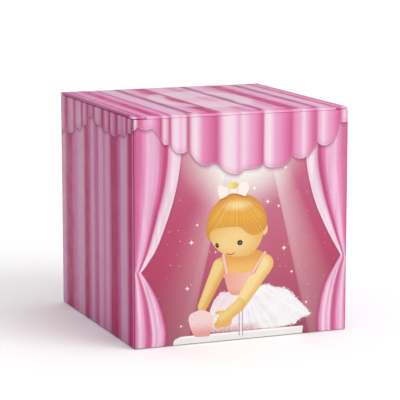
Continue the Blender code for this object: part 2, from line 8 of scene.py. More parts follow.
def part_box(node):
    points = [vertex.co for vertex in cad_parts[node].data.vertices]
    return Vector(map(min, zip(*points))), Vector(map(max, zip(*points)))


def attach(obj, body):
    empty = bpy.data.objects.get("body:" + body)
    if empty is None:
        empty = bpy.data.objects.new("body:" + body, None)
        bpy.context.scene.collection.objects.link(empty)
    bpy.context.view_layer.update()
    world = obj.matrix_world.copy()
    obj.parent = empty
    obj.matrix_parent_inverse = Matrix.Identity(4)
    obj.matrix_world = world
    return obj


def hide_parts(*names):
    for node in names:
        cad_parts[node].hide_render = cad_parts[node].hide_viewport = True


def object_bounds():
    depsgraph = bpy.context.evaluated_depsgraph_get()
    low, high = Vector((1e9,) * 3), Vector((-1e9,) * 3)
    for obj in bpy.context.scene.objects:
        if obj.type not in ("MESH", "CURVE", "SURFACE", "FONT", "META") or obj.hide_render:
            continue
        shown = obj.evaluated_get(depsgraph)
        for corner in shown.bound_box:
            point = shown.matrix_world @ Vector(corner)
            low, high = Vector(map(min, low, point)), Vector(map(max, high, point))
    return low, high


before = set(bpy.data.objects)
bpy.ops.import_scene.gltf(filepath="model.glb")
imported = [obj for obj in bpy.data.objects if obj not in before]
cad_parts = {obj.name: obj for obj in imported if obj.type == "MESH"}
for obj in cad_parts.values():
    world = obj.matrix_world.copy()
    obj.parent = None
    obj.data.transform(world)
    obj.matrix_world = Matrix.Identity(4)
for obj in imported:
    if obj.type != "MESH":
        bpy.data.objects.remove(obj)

CAD_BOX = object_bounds()
MM = 0.001

# --- the places that everything else is worked out from ---
SLEEVE_LOW, SLEEVE_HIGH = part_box("wrap_sleeve")
LID_LOW, LID_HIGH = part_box("lid_plate")
HALF = SLEEVE_HIGH[0]
SIDE = LID_HIGH[2]


# --- camera, stage and light ---
CAMERA_SPOT = (-3.1674, -7.9238, 2.0176)     # in sides of the box
CAMERA_TURN = 21.79                          # degrees to the right of straight back
CAMERA_DROP = 9.84                           # degrees below level
LENS = 170.8
FLOOR_RADIUS = 6.0                           # metres, like the two below
DOME_RADIUS = 5.5
UNDER_BASE = 0.0001


def make_camera():
    """Long lens from the front left, a little above the lid."""
    data = bpy.data.cameras.new("camera")
    data.sensor_width = 36.0
    data.lens = LENS
    data.clip_start = 0.05
    data.clip_end = 30.0
    camera = bpy.data.objects.new("camera", data)
    bpy.context.scene.collection.objects.link(camera)
    camera.location = [part * SIDE for part in CAMERA_SPOT]
    camera.rotation_euler = (math.pi / 2 - math.radians(CAMERA_DROP), 0.0, -math.radians(CAMERA_TURN))
    bpy.context.scene.camera = camera


def soft_sun(name, comes_from, spread, strength):
    """Wide, even light from one direction, as from a large soft box."""
    data = bpy.data.lights.new(name, "SUN")
    data.angle = math.radians(spread)
    data.energy = strength
    light = bpy.data.objects.new(name, data)
    bpy.context.scene.collection.objects.link(light)
    light.rotation_euler = (-Vector(comes_from)).to_track_quat("-Z", "Y").to_euler()


def staged(name, mesh, look):
    """Links one piece of the studio."""
    data = bpy.data.meshes.new(name)
    mesh.to_mesh(data)
    mesh.free()
    data.materials.append(look)
    made = bpy.data.objects.new(name, data)
    bpy.context.scene.collection.objects.link(made)
    return made


def make_floor():
    """Pale matt sheet just under the base."""
    look = bpy.data.materials.new("floor")
    look.use_nodes = True
    shader = look.node_tree.nodes["Principled BSDF"]
    shader.inputs["Base Color"].default_value = (0.99, 0.99, 0.99, 1.0)
    shader.inputs["Roughness"].default_value = 0.9
    shader.inputs["Specular IOR Level"].default_value = 0.1
    mesh = bmesh.new()
    bmesh.ops.create_circle(mesh, cap_ends=True, radius=FLOOR_RADIUS, segments=96)
    floor = staged("floor", mesh, look)
    floor.location = (0.0, 0.0, CAD_BOX[0][2] - UNDER_BASE)


def make_backdrop():
    """White dome seen only directly, so that the floor ends without a horizon."""
    look = bpy.data.materials.new("backdrop")
    look.use_nodes = True
    tree = look.node_tree
    tree.nodes.clear()
    glow = tree.nodes.new("ShaderNodeEmission")
    glow.inputs["Color"].default_value = (1.0, 1.0, 1.0, 1.0)
    glow.inputs["Strength"].default_value = 1.0
    out = tree.nodes.new("ShaderNodeOutputMaterial")
    tree.links.new(glow.outputs[0], out.inputs["Surface"])
    mesh = bmesh.new()
    bmesh.ops.create_uvsphere(mesh, u_segments=48, v_segments=24, radius=DOME_RADIUS)
    dome = staged("backdrop", mesh, look)
    dome.visible_diffuse = False
    dome.visible_glossy = False
    dome.visible_transmission = False
    dome.visible_shadow = False


def make_stage():
    """White floor, dome and sky, with one wide light from the front right and one from above."""
    make_floor()
    make_backdrop()
    world = bpy.data.worlds.new("studio")
    bpy.context.scene.world = world
    world.use_nodes = True
    sky = world.node_tree.nodes["Background"]
    sky.inputs["Color"].default_value = (1.0, 1.0, 1.0, 1.0)
    sky.inputs["Strength"].default_value = 0.70
    soft_sun("key_light", (0.62, -0.80, 0.45), 50.0, 1.75)
    soft_sun("top_light", (0.25, -0.10, 1.0), 60.0, 0.50)
    bpy.context.scene.view_settings.view_transform = "Standard"


# --- painting with nodes ---
def ink(red, green, blue):
    """A printed colour given as 0 to 255 values, as linear light."""
    parts = []
    for value in (red, green, blue):
        part = value / 255
        parts.append(part / 12.92 if part <= 0.04045 else ((part + 0.055) / 1.055) ** 2.4)
    return (*parts, 1.0)


class Value:
    """A number worked out at each point of a surface. Arithmetic on it adds math nodes."""

    def __init__(self, tree, socket):
        self.tree = tree
        self.socket = socket

    def math(self, kind, *others, swap=False):
        node = self.tree.nodes.new("ShaderNodeMath")
        node.operation = kind
        inputs = [self, *others]
        if swap:
            inputs.reverse()
        for place, item in zip(node.inputs, inputs):
            if isinstance(item, Value):
                self.tree.links.new(item.socket, place)
            else:
                place.default_value = item
        return Value(self.tree, node.outputs[0])

    def __add__(self, other):
        return self.math("ADD", other)

    def __sub__(self, other):
        return self.math("SUBTRACT", other)

    def __rsub__(self, other):
        return self.math("SUBTRACT", other, swap=True)

    def __mul__(self, other):
        return self.math("MULTIPLY", other)

    def __truediv__(self, other):
        return self.math("DIVIDE", other)

    def __pow__(self, other):
        return self.math("POWER", other)

    def abs(self):
        return self.math("ABSOLUTE")

    def sqrt(self):
        return self.math("SQRT")

    def max(self, other):
        return self.math("MAXIMUM", other)

    def min(self, other):
        return self.math("MINIMUM", other)

    def rise(self, start, end, low=0.0, high=1.0, smooth=True):
        """Goes from low to high as this number goes from start to end, and stays there."""
        node = self.tree.nodes.new("ShaderNodeMapRange")
        node.interpolation_type = "SMOOTHSTEP" if smooth else "LINEAR"
        node.clamp = True
        self.tree.links.new(self.socket, node.inputs["Value"])
        node.inputs["From Min"].default_value = start
        node.inputs["From Max"].default_value = end
        node.inputs["To Min"].default_value = low
        node.inputs["To Max"].default_value = high
        return Value(self.tree, node.outputs["Result"])

    def track(self, points):
        """A drawn curve: (here, there) points, with "cusp" as a third item where it is sharp."""
        low_x = min(point[0] for point in points)
        high_x = max(point[0] for point in points)
        low_y = min(point[1] for point in points)
        high_y = max(point[1] for point in points)
        across = self.rise(low_x, high_x, smooth=False)
        node = self.tree.nodes.new("ShaderNodeFloatCurve")
        curve = node.mapping.curves[0]
        placed = sorted(points)
        height = max(high_y - low_y, 1e-6)
        for index, point in enumerate(placed):
            spot = ((point[0] - low_x) / (high_x - low_x), (point[1] - low_y) / height)
            if index == 0:
                curve.points[0].location = spot
            elif index == len(placed) - 1:
                curve.points[len(curve.points) - 1].location = spot
            else:
                curve.points.new(*spot)
        for made, point in zip(curve.points, placed):
            made.handle_type = "VECTOR" if len(point) > 2 else "AUTO_CLAMPED"
        node.mapping.update()
        self.tree.links.new(across.socket, node.inputs["Value"])
        return Value(self.tree, node.outputs["Value"]) * height + low_y

    def ramp(self, stops, low=0.0, high=1.0, smooth=False):
        """Colours laid along this number: (where, colour) stops between low and high."""
        node = self.tree.nodes.new("ShaderNodeValToRGB")
        band = node.color_ramp
        band.interpolation = "EASE" if smooth else "LINEAR"
        placed = [((where - low) / (high - low), color) for where, color in stops]
        band.elements[0].position, band.elements[0].color = placed[0]
        band.elements[1].position, band.elements[1].color = placed[-1]
        for where, color in placed[1:-1]:
            band.elements.new(where).color = color
        self.tree.links.new(self.rise(low, high, smooth=False).socket, node.inputs["Fac"])
        return node.outputs["Color"]


class Print:
    """A material drawn in millimetres across and up one face of the box."""

    def __init__(self, name, across, up, roughness=0.36, gloss=0.3):
        self.material = bpy.data.materials.new(name)
        self.material.use_nodes = True
        self.tree = self.material.node_tree
        self.shader = self.tree.nodes["Principled BSDF"]
        self.shader.inputs["Roughness"].default_value = roughness
        self.shader.inputs["Coat Weight"].default_value = 0.03
        self.shader.inputs["Coat Roughness"].default_value = 0.25
        self.shader.inputs["Specular IOR Level"].default_value = gloss
        self.point = self.tree.nodes.new("ShaderNodeTexCoord").outputs["Object"]
        self.split = self.tree.nodes.new("ShaderNodeSeparateXYZ")
        self.tree.links.new(self.point, self.split.inputs[0])
        self.x = self.along(across)
        self.z = self.along(up)
        self.color = None

    def along(self, axis):
        """Millimetres along an axis of the frame: X, or -X for the other way round."""
        way = -1 if axis[0] == "-" else 1
        return Value(self.tree, self.split.outputs[axis[-1]]) * (way / MM)

    def cover(self, mask, color):
        """Lays a colour over what is there, where mask is 1."""
        self.color = self.blend(mask, self.color, color)

    def blend(self, mask, below, above, kind="MIX"):
        node = self.tree.nodes.new("ShaderNodeMix")
        node.data_type = "RGBA"
        node.blend_type = kind
        factor, first, second = node.inputs[0], node.inputs[6], node.inputs[7]
        for place, item in ((factor, mask), (first, below), (second, above)):
            if isinstance(item, Value):
                self.tree.links.new(item.socket, place)
            elif isinstance(item, bpy.types.NodeSocket):
                self.tree.links.new(item, place)
            else:
                place.default_value = item
        return node.outputs[2]

    def darken(self, mask, tone):
        self.color = self.blend(mask, self.color, tone, "MULTIPLY")

    def noise(self, scale, stretch=(1.0, 1.0, 1.0), detail=3.0, rough=0.5):
        """Cloudy noise from 0 to 1; scale is in features per metre."""
        shape = self.tree.nodes.new("ShaderNodeVectorMath")
        shape.operation = "MULTIPLY"
        self.tree.links.new(self.point, shape.inputs[0])
        shape.inputs[1].default_value = stretch
        node = self.tree.nodes.new("ShaderNodeTexNoise")
        node.inputs["Scale"].default_value = scale
        node.inputs["Detail"].default_value = detail
        node.inputs["Roughness"].default_value = rough
        self.tree.links.new(shape.outputs[0], node.inputs["Vector"])
        return Value(self.tree, node.outputs["Fac"])

    def streaks(self, along, scale, detail, rough):
        """Noise from 0 to 1 that changes only along one number."""
        node = self.tree.nodes.new("ShaderNodeTexNoise")
        node.noise_dimensions = "1D"
        node.inputs["Scale"].default_value = scale
        node.inputs["Detail"].default_value = detail
        node.inputs["Roughness"].default_value = rough
        self.tree.links.new(along.socket, node.inputs["W"])
        return Value(self.tree, node.outputs["Fac"])

    def cells(self, x, z, scale, uneven):
        """Uneven cells over two numbers."""
        flat = self.tree.nodes.new("ShaderNodeCombineXYZ")
        self.tree.links.new(x.socket, flat.inputs[0])
        self.tree.links.new(z.socket, flat.inputs[1])
        node = self.tree.nodes.new("ShaderNodeTexVoronoi")
        node.voronoi_dimensions = "2D"
        node.inputs["Scale"].default_value = scale
        node.inputs["Randomness"].default_value = uneven
        self.tree.links.new(flat.outputs[0], node.inputs["Vector"])
        return node

    def patch(self, top, bottom, soft=0.3, z=None):
        """1 inside a shape given by its upper and lower outlines, which meet at both ends."""
        z = self.z if z is None else z
        above = self.x.track(top) - z
        below = z - self.x.track(bottom)
        return above.min(below).rise(0.02, soft)

    def oval(self, x, z, across, up, tilt=0.0, soft=0.25):
        """1 inside a tilted ellipse."""
        turn = math.radians(tilt)
        right = self.x - x
        high = self.z - z
        along = right * (math.cos(turn) / across) + high * (math.sin(turn) / across)
        over = high * (math.cos(turn) / up) - right * (math.sin(turn) / up)
        reach = (along * along + over * over).sqrt()
        edge = soft / min(across, up) / 2
        return reach.rise(1 + edge, 1 - edge)

    def limb(self, start, end, start_r, end_r):
        """Depth inside a round-ended, tapering limb: positive inside, in millimetres."""
        run = (end[0] - start[0], end[1] - start[1])
        square = run[0] ** 2 + run[1] ** 2
        right = self.x - start[0]
        high = self.z - start[1]
        part = (right * (run[0] / square) + high * (run[1] / square)).max(0.0).min(1.0)
        off = right - part * run[0]
        up = high - part * run[1]
        return part * (end_r - start_r) + start_r - (off * off + up * up).sqrt()

    def relief(self, height, strength, distance=0.0001):
        """Raises the surface a little where a number is greater."""
        bump = self.tree.nodes.new("ShaderNodeBump")
        bump.inputs["Strength"].default_value = strength
        bump.inputs["Distance"].default_value = distance
        self.tree.links.new(height.socket, bump.inputs["Height"])
        self.tree.links.new(bump.outputs[0], self.shader.inputs["Normal"])

    def show(self, **sockets):
        """Puts the colour on the shader and sets its other inputs by name."""
        self.tree.links.new(self.color, self.shader.inputs["Base Color"])
        for socket, value in sockets.items():
            self.shader.inputs[socket.replace("_", " ").title()].default_value = value
        return self.material

    def finish(self, depth, richness):
        """Paper grain in the colour, a slightly uneven varnish, and a faint tooth."""
        grain = 0.08
        speck = self.noise(1500.0, detail=3.0, rough=0.7)
        # depth sets how dark the whole print comes out; on the left wall it is set low as painted shade.
        tone = speck.rise(0.3, 0.7, depth * (1.0 - grain), depth * (1.0 + grain))
        hue = self.tree.nodes.new("ShaderNodeHueSaturation")
        hue.inputs["Saturation"].default_value = richness
        self.tree.links.new(tone.socket, hue.inputs["Value"])
        self.tree.links.new(self.color, hue.inputs["Color"])
        self.color = hue.outputs[0]
        varnish = self.noise(160.0).rise(0.3, 0.7, 0.30, 0.42)
        self.tree.links.new(varnish.socket, self.shader.inputs["Roughness"])
        self.relief(speck, 0.06)
        return self.show()


# --- printed colours ---
DEEP = ink(200, 82, 132)
ROSE = ink(215, 104, 156)
PINK = ink(226, 138, 182)
LILAC = ink(231, 162, 200)
PALE = ink(239, 204, 222)
MILK = ink(241, 218, 230)
SHADOW = ink(166, 104, 136)
OUTLINE = ink(146, 62, 100)
BLUSH = ink(237, 182, 212)
DARK = ink(190, 66, 116)

# folds of the valance from left to right: where each tone is at its purest, in millimetres
VALANCE_FOLDS = (
    (-60, PALE), (-58.9, PALE), (-57.4, DEEP), (-55.8, ROSE), (-53.6, LILAC), (-50.6, BLUSH), (-48, PINK),
    (-46.4, ROSE), (-45.2, DARK), (-43.4, PALE), (-41.7, LILAC), (-40.3, DARK), (-38.6, PALE),
    (-36.6, MILK), (-34.4, BLUSH), (-32.4, PALE), (-30.3, DARK), (-28, PALE), (-26, MILK), (-22.4, PINK),
    (-18, ROSE), (-14.8, DEEP), (-12.8, PINK), (-10.6, PALE), (-7.6, MILK), (-4.6, PALE), (-2.4, LILAC),
    (0.4, PALE), (4, LILAC), (7, PINK), (9.4, ROSE), (11.2, DEEP),
)
VALANCE_END = (
    (11.2, DEEP), (12.6, PALE), (15, MILK), (18, LILAC), (21.4, PINK), (24.6, ROSE), (27.2, DEEP),
    (29.6, PINK), (32.6, LILAC), (34.4, PALE), (36.4, LILAC), (39.2, ROSE), (41.5, DEEP), (43.2, LILAC),
    (45.6, PALE), (48.4, LILAC), (51, PINK), (53.6, ROSE), (55.2, DEEP), (56.4, PINK), (57.8, PALE),
    (60, PINK),
)
VALANCE_JOIN = 11.2
VALANCE_EDGE = (
    (-60, 113.0), (-57.6, 115.2, "cusp"), (-55.8, 113.7), (-53, 113.2), (-50.2, 114.0, "cusp"),
    (-47, 110.6), (-44.6, 106.8), (-42.6, 105.2), (-40.6, 105.4, "cusp"), (-38.4, 102.3), (-36, 100.6),
    (-34, 100.3), (-31.6, 100.9), (-30.2, 101.9, "cusp"), (-28, 98.4), (-25, 95.2), (-22, 93.5), (-20, 93.2),
    (-16.6, 94.2), (-13.6, 92.9), (-10.5, 90.3), (-7, 88.4), (-3.6, 87.8), (-1.2, 88.7), (1, 90.2),
    (5, 90.3), (9, 90.9), (11.4, 92.3, "cusp"), (13.4, 90.8), (17, 90.1), (21, 90.3), (24.6, 92.2),
    (28, 96.3, "cusp"), (30, 94.6), (33, 94.0), (36, 94.9), (39, 97.4), (41, 100.2), (42.4, 102.4, "cusp"),
    (44, 100.8), (46.6, 100.2), (49.6, 101.2), (52.6, 104.6), (54.4, 109), (55.2, 112.8, "cusp"),
    (57.4, 111.9), (60, 112.2),
)
LEFT_EDGE = (
    (0, -43.6), (1.5, -42.8), (6, -42.5), (14, -43.7), (22, -46.0), (30, -49.6), (36, -53.2),
    (40, -56.2, "cusp"), (45, -52.3), (52, -47.8), (60, -44.3), (70, -40.6), (80, -37.6), (90, -35.5),
    (101, -34.2), (120, -34),
)
RIGHT_EDGE = (
    (0, 44.0), (1.5, 43.0), (6, 42.9), (14, 43.8), (22, 45.8), (30, 49.3), (36, 53.0), (41, 56.6, "cusp"),
    (46, 53.6), (53, 49.6), (60, 46.0), (70, 41.6), (80, 38.5), (90, 36.4), (97, 35.8), (120, 35.6),
)
# tones across a gathered curtain, from the box edge to its free edge
CURTAIN_FOLDS = (
    (0.0, DEEP), (0.10, ROSE), (0.20, PINK), (0.30, BLUSH), (0.38, BLUSH), (0.47, LILAC), (0.55, ROSE),
    (0.61, DARK), (0.65, DARK), (0.70, LILAC), (0.76, PALE), (0.83, MILK), (0.92, PALE), (0.97, MILK),
    (1.0, PALE),
)
HANGING_FOLDS = (
    (0.0, DEEP), (0.08, PINK), (0.18, PALE), (0.30, LILAC), (0.40, ROSE), (0.47, DEEP), (0.54, ROSE),
    (0.62, PALE), (0.72, LILAC), (0.82, PALE), (0.91, LILAC), (0.97, PINK), (1.0, DEEP),
)
# large stars: across, up, and the reach of their points
SPARKLES = (
    (-28.7, 53.7, 2.6), (-25.5, 62.7, 1.8), (-31, 29.7, 2.4), (-34.5, 10, 1.6), (-15.2, 47.8, 1.3),
    (23.5, 47.2, 2.6), (28, 34.2, 1.8), (14, 72.5, 2.4), (20.3, 69.8, 1.9), (6.5, 80, 2.4),
    (-11.4, 86.8, 2.0), (24, 90, 2.2), (36.6, 17, 1.8),
)
SKIN = ink(238, 204, 132)
SKIN_SHADE = ink(224, 164, 76)


def paint_backdrop(art):
    """Deep rose stage with light beams that fan down from above, a glow, and small stars."""
    x, z = art.x, art.z
    art.color = z.ramp((
        (0, ink(148, 56, 84)), (22, ink(166, 58, 90)), (45, ink(182, 60, 98)), (70, ink(188, 72, 112)),
        (92, ink(196, 92, 128)), (103, ink(206, 120, 150)), (120, ink(214, 130, 160)),
    ), 0, 120)
    source = (3.6, 145.0)
    angle = (x - source[0]).math("ARCTAN2", source[1] - z) * math.degrees(1)
    beams = angle.track((
        (-26, 0.0), (-23.5, 0.03), (-21, 0.12), (-18.5, 0.25), (-16, 0.40), (-13.9, 0.56),
        (-13.2, 0.10, "cusp"), (-6, 0.16), (0, 0.20), (8, 0.14), (13.4, 0.12, "cusp"), (14.1, 0.58),
        (16.4, 0.48), (19.6, 0.28), (23.5, 0.0),
    ))
    beam_tone = z.ramp(((0, ink(222, 166, 180)), (90, ink(240, 220, 218))), 0, 90)
    art.cover(beams * z.rise(2, 92, 0.5, 1.0), beam_tone)
    far = (((x + 1.0) / 34.0) ** 2.0 + ((z - 97.0) / 28.0) ** 2.0).sqrt()
    art.cover(far.rise(1.15, 0.20, 0.0, 1.0), ink(243, 240, 234))
    for right, high, reach in SPARKLES:
        arms = ((x - right).abs().sqrt() + (z - high).abs().sqrt()) / math.sqrt(reach)
        halo = ((x - right) ** 2.0 + (z - high) ** 2.0).sqrt()
        glint = arms.rise(1.0, 0.66, 0.0, 0.95).max(halo.rise(reach * 0.42, 0.0, 0.0, 0.5))
        art.cover(glint, ink(253, 240, 236))
    stars(art, 5.6, 0.50, 0.9)


def stars(art, spacing, rarity, reach):
    """Four-point stars, one in some of the cells of an uneven grid."""
    tree = art.tree
    cells = art.cells(art.x, art.z, 1.0 / spacing, 0.85)
    where = tree.nodes.new("ShaderNodeSeparateXYZ")
    tree.links.new(cells.outputs["Position"], where.inputs[0])
    chance = tree.nodes.new("ShaderNodeSeparateXYZ")
    tree.links.new(cells.outputs["Color"], chance.inputs[0])
    right = (art.x - Value(tree, where.outputs[0])).abs()
    high = (art.z - Value(tree, where.outputs[1])).abs()
    size = Value(tree, chance.outputs[0]).rise(0.0, 1.0, 0.35, 1.0) * reach
    rays = (right.sqrt() + high.sqrt()) / size.sqrt()
    core = (right * right + high * high).sqrt() / (size * 0.30)
    glint = rays.rise(1.0, 0.45).max(core.rise(1.0, 0.3))
    chosen = Value(tree, chance.outputs[1]).math("GREATER_THAN", rarity)
    art.cover(glint * chosen * art.z.rise(6, 30, 0.4, 0.9), ink(250, 232, 226))


def paint_skin(art, depth, light, pale=SKIN, shade=SKIN_SHADE):
    """A rounded limb: pale where it is lit, and warm towards its edge."""
    tone = art.blend(light.rise(-0.4, 3.0), shade, pale)
    art.cover(depth.rise(-0.15, 0.15), tone)


def paint_dancer(art):
    """A seated doll in a white tulle skirt, reaching for one shoe, on a pale round plate."""
    x, z = art.x, art.z
    plate = art.patch(
        ((-39, 0), (-38.6, 2.4), (-36.4, 4.0), (-32, 4.7), (-20, 4.7), (34.2, 4.5), (35, 4.0, "cusp")),
        ((-39, 0), (-38, -2, "cusp"), (34, -2, "cusp"), (35, 4.0)),
    )
    art.cover(plate, art.blend(z.rise(3.6, 3.2), ink(250, 247, 244), ink(236, 233, 232)))

    fray = art.noise(900.0, (1.0, 1.0, 1.0), 4.0, 0.7) - 0.5
    hem = z + fray * x.rise(14, 34, 3.6, 8.0)
    tulle = art.patch(
        ((-20, 11), (-17.8, 19), (-14.4, 24.6), (-11, 26.8), (-7, 26.6), (-3, 25.6), (2, 25.4), (8, 27.2),
         (13.8, 29.2), (18, 27.4), (24, 26.2), (28, 23.6), (33, 18.2), (37.6, 13.4), (40.6, 10.2)),
        ((-20, 11), (-19, 5), (-10, 4.6), (5, 4.2), (20, 4.2), (29, 5.0), (32.6, 7.4), (36, 8.4),
         (40.6, 10.2)),
        1.3, z=hem,
    )
    pleats = art.streaks((x + 1.0).math("ARCTAN2", z - 34.0), 9.0, 4.0, 0.5)
    cloud = art.noise(170.0, detail=4.0, rough=0.6)
    gather = pleats.rise(0.32, 0.66) * 0.26 + fray * 0.35 + cloud * 0.7
    veil = art.blend(gather.rise(0.1, 0.62), ink(232, 226, 231), ink(248, 248, 249))
    art.cover(tulle * 0.96, veil)
    art.cover(tulle * x.rise(2, -8) * z.rise(9, 22, 0.1, 0.5), ink(240, 204, 210))
    art.cover(tulle * x.rise(2, -3) * fray.rise(0.02, 0.16, 0.0, 0.4), ink(196, 140, 146))
    under = z.rise(10, 5.5, 0.0, 0.8) * x.rise(13, 4) * fray.rise(-0.16, 0.1, 0.35, 1.0)
    art.cover(tulle * under, ink(196, 126, 122))
    post = (x + 0.9).abs().rise(1.35, 1.15) * z.rise(17.5, 15.5) * z.rise(1.6, 2.6)
    art.cover(post * 0.8, art.blend((x + 0.9).abs().rise(0.35, 0.8), ink(246, 240, 243), ink(176, 142, 160)))

    chest = art.patch(
        ((-15, 42), (-12.6, 44.9), (-9, 46.6), (0, 48), (8, 47.4), (12.4, 45.0), (15.8, 41.6), (17.2, 38)),
        ((-15, 42), (-12, 37), (-9.6, 33.6), (7.4, 33.6), (12, 33), (17.2, 38)),
    )
    art.cover(chest, art.blend(z.rise(46, 37), ink(222, 158, 72), ink(238, 184, 98)))
    bodice = art.patch(
        ((-10.4, 35.6), (-9.6, 36.8, "cusp"), (-5, 35.9), (0, 35.8), (6.4, 36.4, "cusp"), (8.2, 33)),
        ((-10.4, 35.6), (-9.2, 29.6), (-7.6, 25.8), (-5.6, 24), (0, 23.8), (3.4, 26), (8.2, 33)),
    )
    art.cover(bodice, art.blend(x.rise(-8, 4), ink(236, 168, 150), ink(240, 186, 172)))
    art.cover(bodice * z.rise(28, 24, 0, 0.6), ink(222, 140, 122))
    arm = art.limb((-12.6, 40.2), (-22.6, 19.4), 4.3, 2.7)
    paint_skin(art, arm, art.limb((-14.0, 40.8), (-23.8, 19.8), 4.5, 2.8))
    for start, end in (((-10.9, 45.8), (-8.9, 36.2)), ((12.6, 45.4), (5.7, 35.8))):
        strap = art.limb(start, end, 0.75, 0.85)
        art.cover(strap.rise(-0.7, -0.1, 0.0, 0.35), ink(196, 120, 56))
        art.cover(strap.rise(-0.15, 0.15), ink(243, 190, 180))

    shoe = art.patch(
        ((-30.5, 13.2), (-29.2, 16.2), (-26.6, 17.3), (-24, 18), (-20.4, 17.1), (-17.2, 14.8), (-16.2, 11)),
        ((-30.5, 13.2), (-29.4, 9), (-27.4, 4.4), (-26.2, 3.4, "cusp"), (-18.8, 3.2, "cusp"), (-17.6, 6),
         (-16.2, 11)),
    )
    silk = art.noise(700.0, detail=3.0).rise(0.3, 0.7)
    lit = art.blend(silk * 0.5, ink(243, 214, 212), ink(234, 192, 192))
    art.cover(shoe, art.blend(z.rise(4.5, 12), ink(228, 158, 150), lit))
    paint_head(art)
    crease = (x - 12.6) * 0.87 - (z - 45.0) * 0.49
    forearm = art.limb((6.2, 29.8), (-1.6, 18.8), 4.3, 3.3)
    arm = art.limb((12.4, 39.6), (-1.6, 18.8), 5.1, 3.3).min(crease).max(forearm)
    light = art.limb((11.4, 40.0), (-2.4, 19.6), 5.0, 3.6)
    paint_skin(art, arm, light, ink(243, 216, 152), ink(234, 186, 104))
    line = crease.abs().rise(0.35, 0.05, 0.0, 0.45) * z.rise(34.5, 35.5) * z.rise(45, 44)
    art.cover(line, ink(186, 112, 50))
    hand = art.limb((-1.6, 18.8), (-11.2, 11.6), 3.3, 3.2).max(art.limb((-9, 10.6), (-14.4, 9.0), 3.0, 1.8))
    hand = hand.max(art.limb((-6, 15.2), (-14.6, 15.5), 1.5, 0.85))
    lit = art.limb((-2.4, 20.0), (-12, 12.6), 3.4, 3.4)
    paint_skin(art, hand, lit, shade=ink(230, 178, 92))
    for low, high in (((-10.6, 8.6), (-15.4, 9.6)), ((-10.4, 10.6), (-15.6, 11.4))):
        art.cover(art.limb(low, high, 0.18, 0.1).rise(-0.25, 0.15, 0.0, 0.6), ink(214, 146, 70))


def paint_head(art):
    """Swept-back golden hair with a bow, dot eyes and a small smile."""
    x, z = art.x, art.z
    art.cover(art.oval(12.2, 58.2, 1.9, 3.2), ink(240, 200, 132))
    hair = art.patch(
        ((-20.5, 58.5), (-20.3, 62.5), (-18.6, 68.6), (-15.2, 73.2), (-10, 76.6), (-4, 77.9), (3, 76.9),
         (8.2, 73.8), (12, 68.6), (13.4, 65), (13.8, 61.6)),
        ((-20.5, 58.5), (-20, 55.8), (-18, 54.2), (0, 54), (4, 55.2), (8, 55.2), (11, 56.4), (13, 58.6),
         (13.8, 61.6)),
    )
    knot = (-4.0, 80.0)
    swirl = (x - knot[0]).math("ARCTAN2", knot[1] - z)
    streak = art.streaks(swirl, 26.0, 5.0, 0.65).rise(0.34, 0.66)
    tone = art.blend(streak, ink(216, 144, 32), ink(240, 186, 76))
    shine = (((x + 3.0) / 9.0) ** 2.0 + ((z - 71.6) / 3.4) ** 2.0).sqrt().rise(1.2, 0.1)
    tone = art.blend(shine * streak.rise(0.0, 1.0, 0.25, 0.95), tone, ink(255, 238, 186))
    tone = art.blend(z.rise(66, 60, 0.0, 0.40), tone, ink(206, 138, 34))
    rim = (((x + 3.3) / 17.4) ** 2.0 + ((z - 60.0) / 18.2) ** 2.0).sqrt()
    tone = art.blend(rim.rise(0.72, 1.04, 0.0, 0.6), tone, ink(196, 122, 34))
    art.cover(hair, tone)
    face = art.patch(
        ((-18.8, 56.6), (-17.8, 59), (-14, 60.3), (-8, 60.6), (-3, 60.4), (-0.6, 59.6), (1.2, 57.8),
         (3.6, 56.2),
         (6.6, 55.4), (9, 55.8), (11, 57.2, "cusp"), (11.8, 55.8)),
        ((-18.8, 56.6), (-17.4, 52.9), (-14.2, 48.9), (-10, 46), (-5, 44.5), (0, 44.2), (4.6, 45.2),
         (8.2, 48.2), (10.4, 51.8), (11.8, 55.8)),
    )
    cheek = (((x + 5.0) / 15.0) ** 2.0 + ((z - 53.0) / 9.5) ** 2.0).sqrt()
    art.cover(face, art.blend(cheek.rise(1.15, 0.35), ink(228, 176, 92), ink(241, 204, 134)))
    dark = ink(52, 44, 36)
    art.cover(art.oval(-14.4, 51.2, 0.95, 1.35, 25), dark)
    art.cover(art.oval(-1.6, 51.8, 1.55, 1.4), dark)
    art.cover(art.oval(-1.5, 51.7, 0.5, 0.45), ink(132, 120, 104))
    art.cover(art.oval(-14.2, 51.4, 0.3, 0.5, 25), ink(120, 116, 104))
    bend = x + 6.9
    smile = (z - bend * bend * 0.13 - 45.9).abs().rise(0.46, 0.16) * bend.abs().rise(2.6, 2.1)
    art.cover(smile, ink(190, 78, 50))
    bun_tone = art.blend(x.rise(-8, -3), ink(244, 226, 130), ink(226, 194, 70))
    art.cover(art.oval(-5.6, 81.9, 3.3, 1.9, soft=0.5), bun_tone)
    bow = art.patch(
        ((-14.2, 81), (-13.6, 83, "cusp"), (-11, 82.4), (-8, 81), (-5.6, 80.4), (-2.6, 82), (0.6, 83.9),
         (2.6, 83.4), (3.6, 80)),
        ((-14.2, 81), (-13.6, 78), (-12.8, 75.1, "cusp"), (-10, 76.3), (-5.6, 78.1), (-2.6, 77.4),
         (1.4, 75.8, "cusp"), (3.6, 80)),
    )
    fold = ((x + 5.4).abs() - 2.2).abs().rise(1.4, 0.0)
    art.cover(bow, art.blend(fold * 0.5, ink(250, 236, 230), ink(232, 190, 190)))
    under = z - x.track(((-14, 74.6), (-10, 75.6), (-5.6, 77.4), (-2.6, 76.8), (3, 75.2)))
    art.cover(under.abs().rise(0.6, 0.1) * (x + 5.4).abs().rise(8.2, 7.2) * 0.7, ink(166, 96, 40))


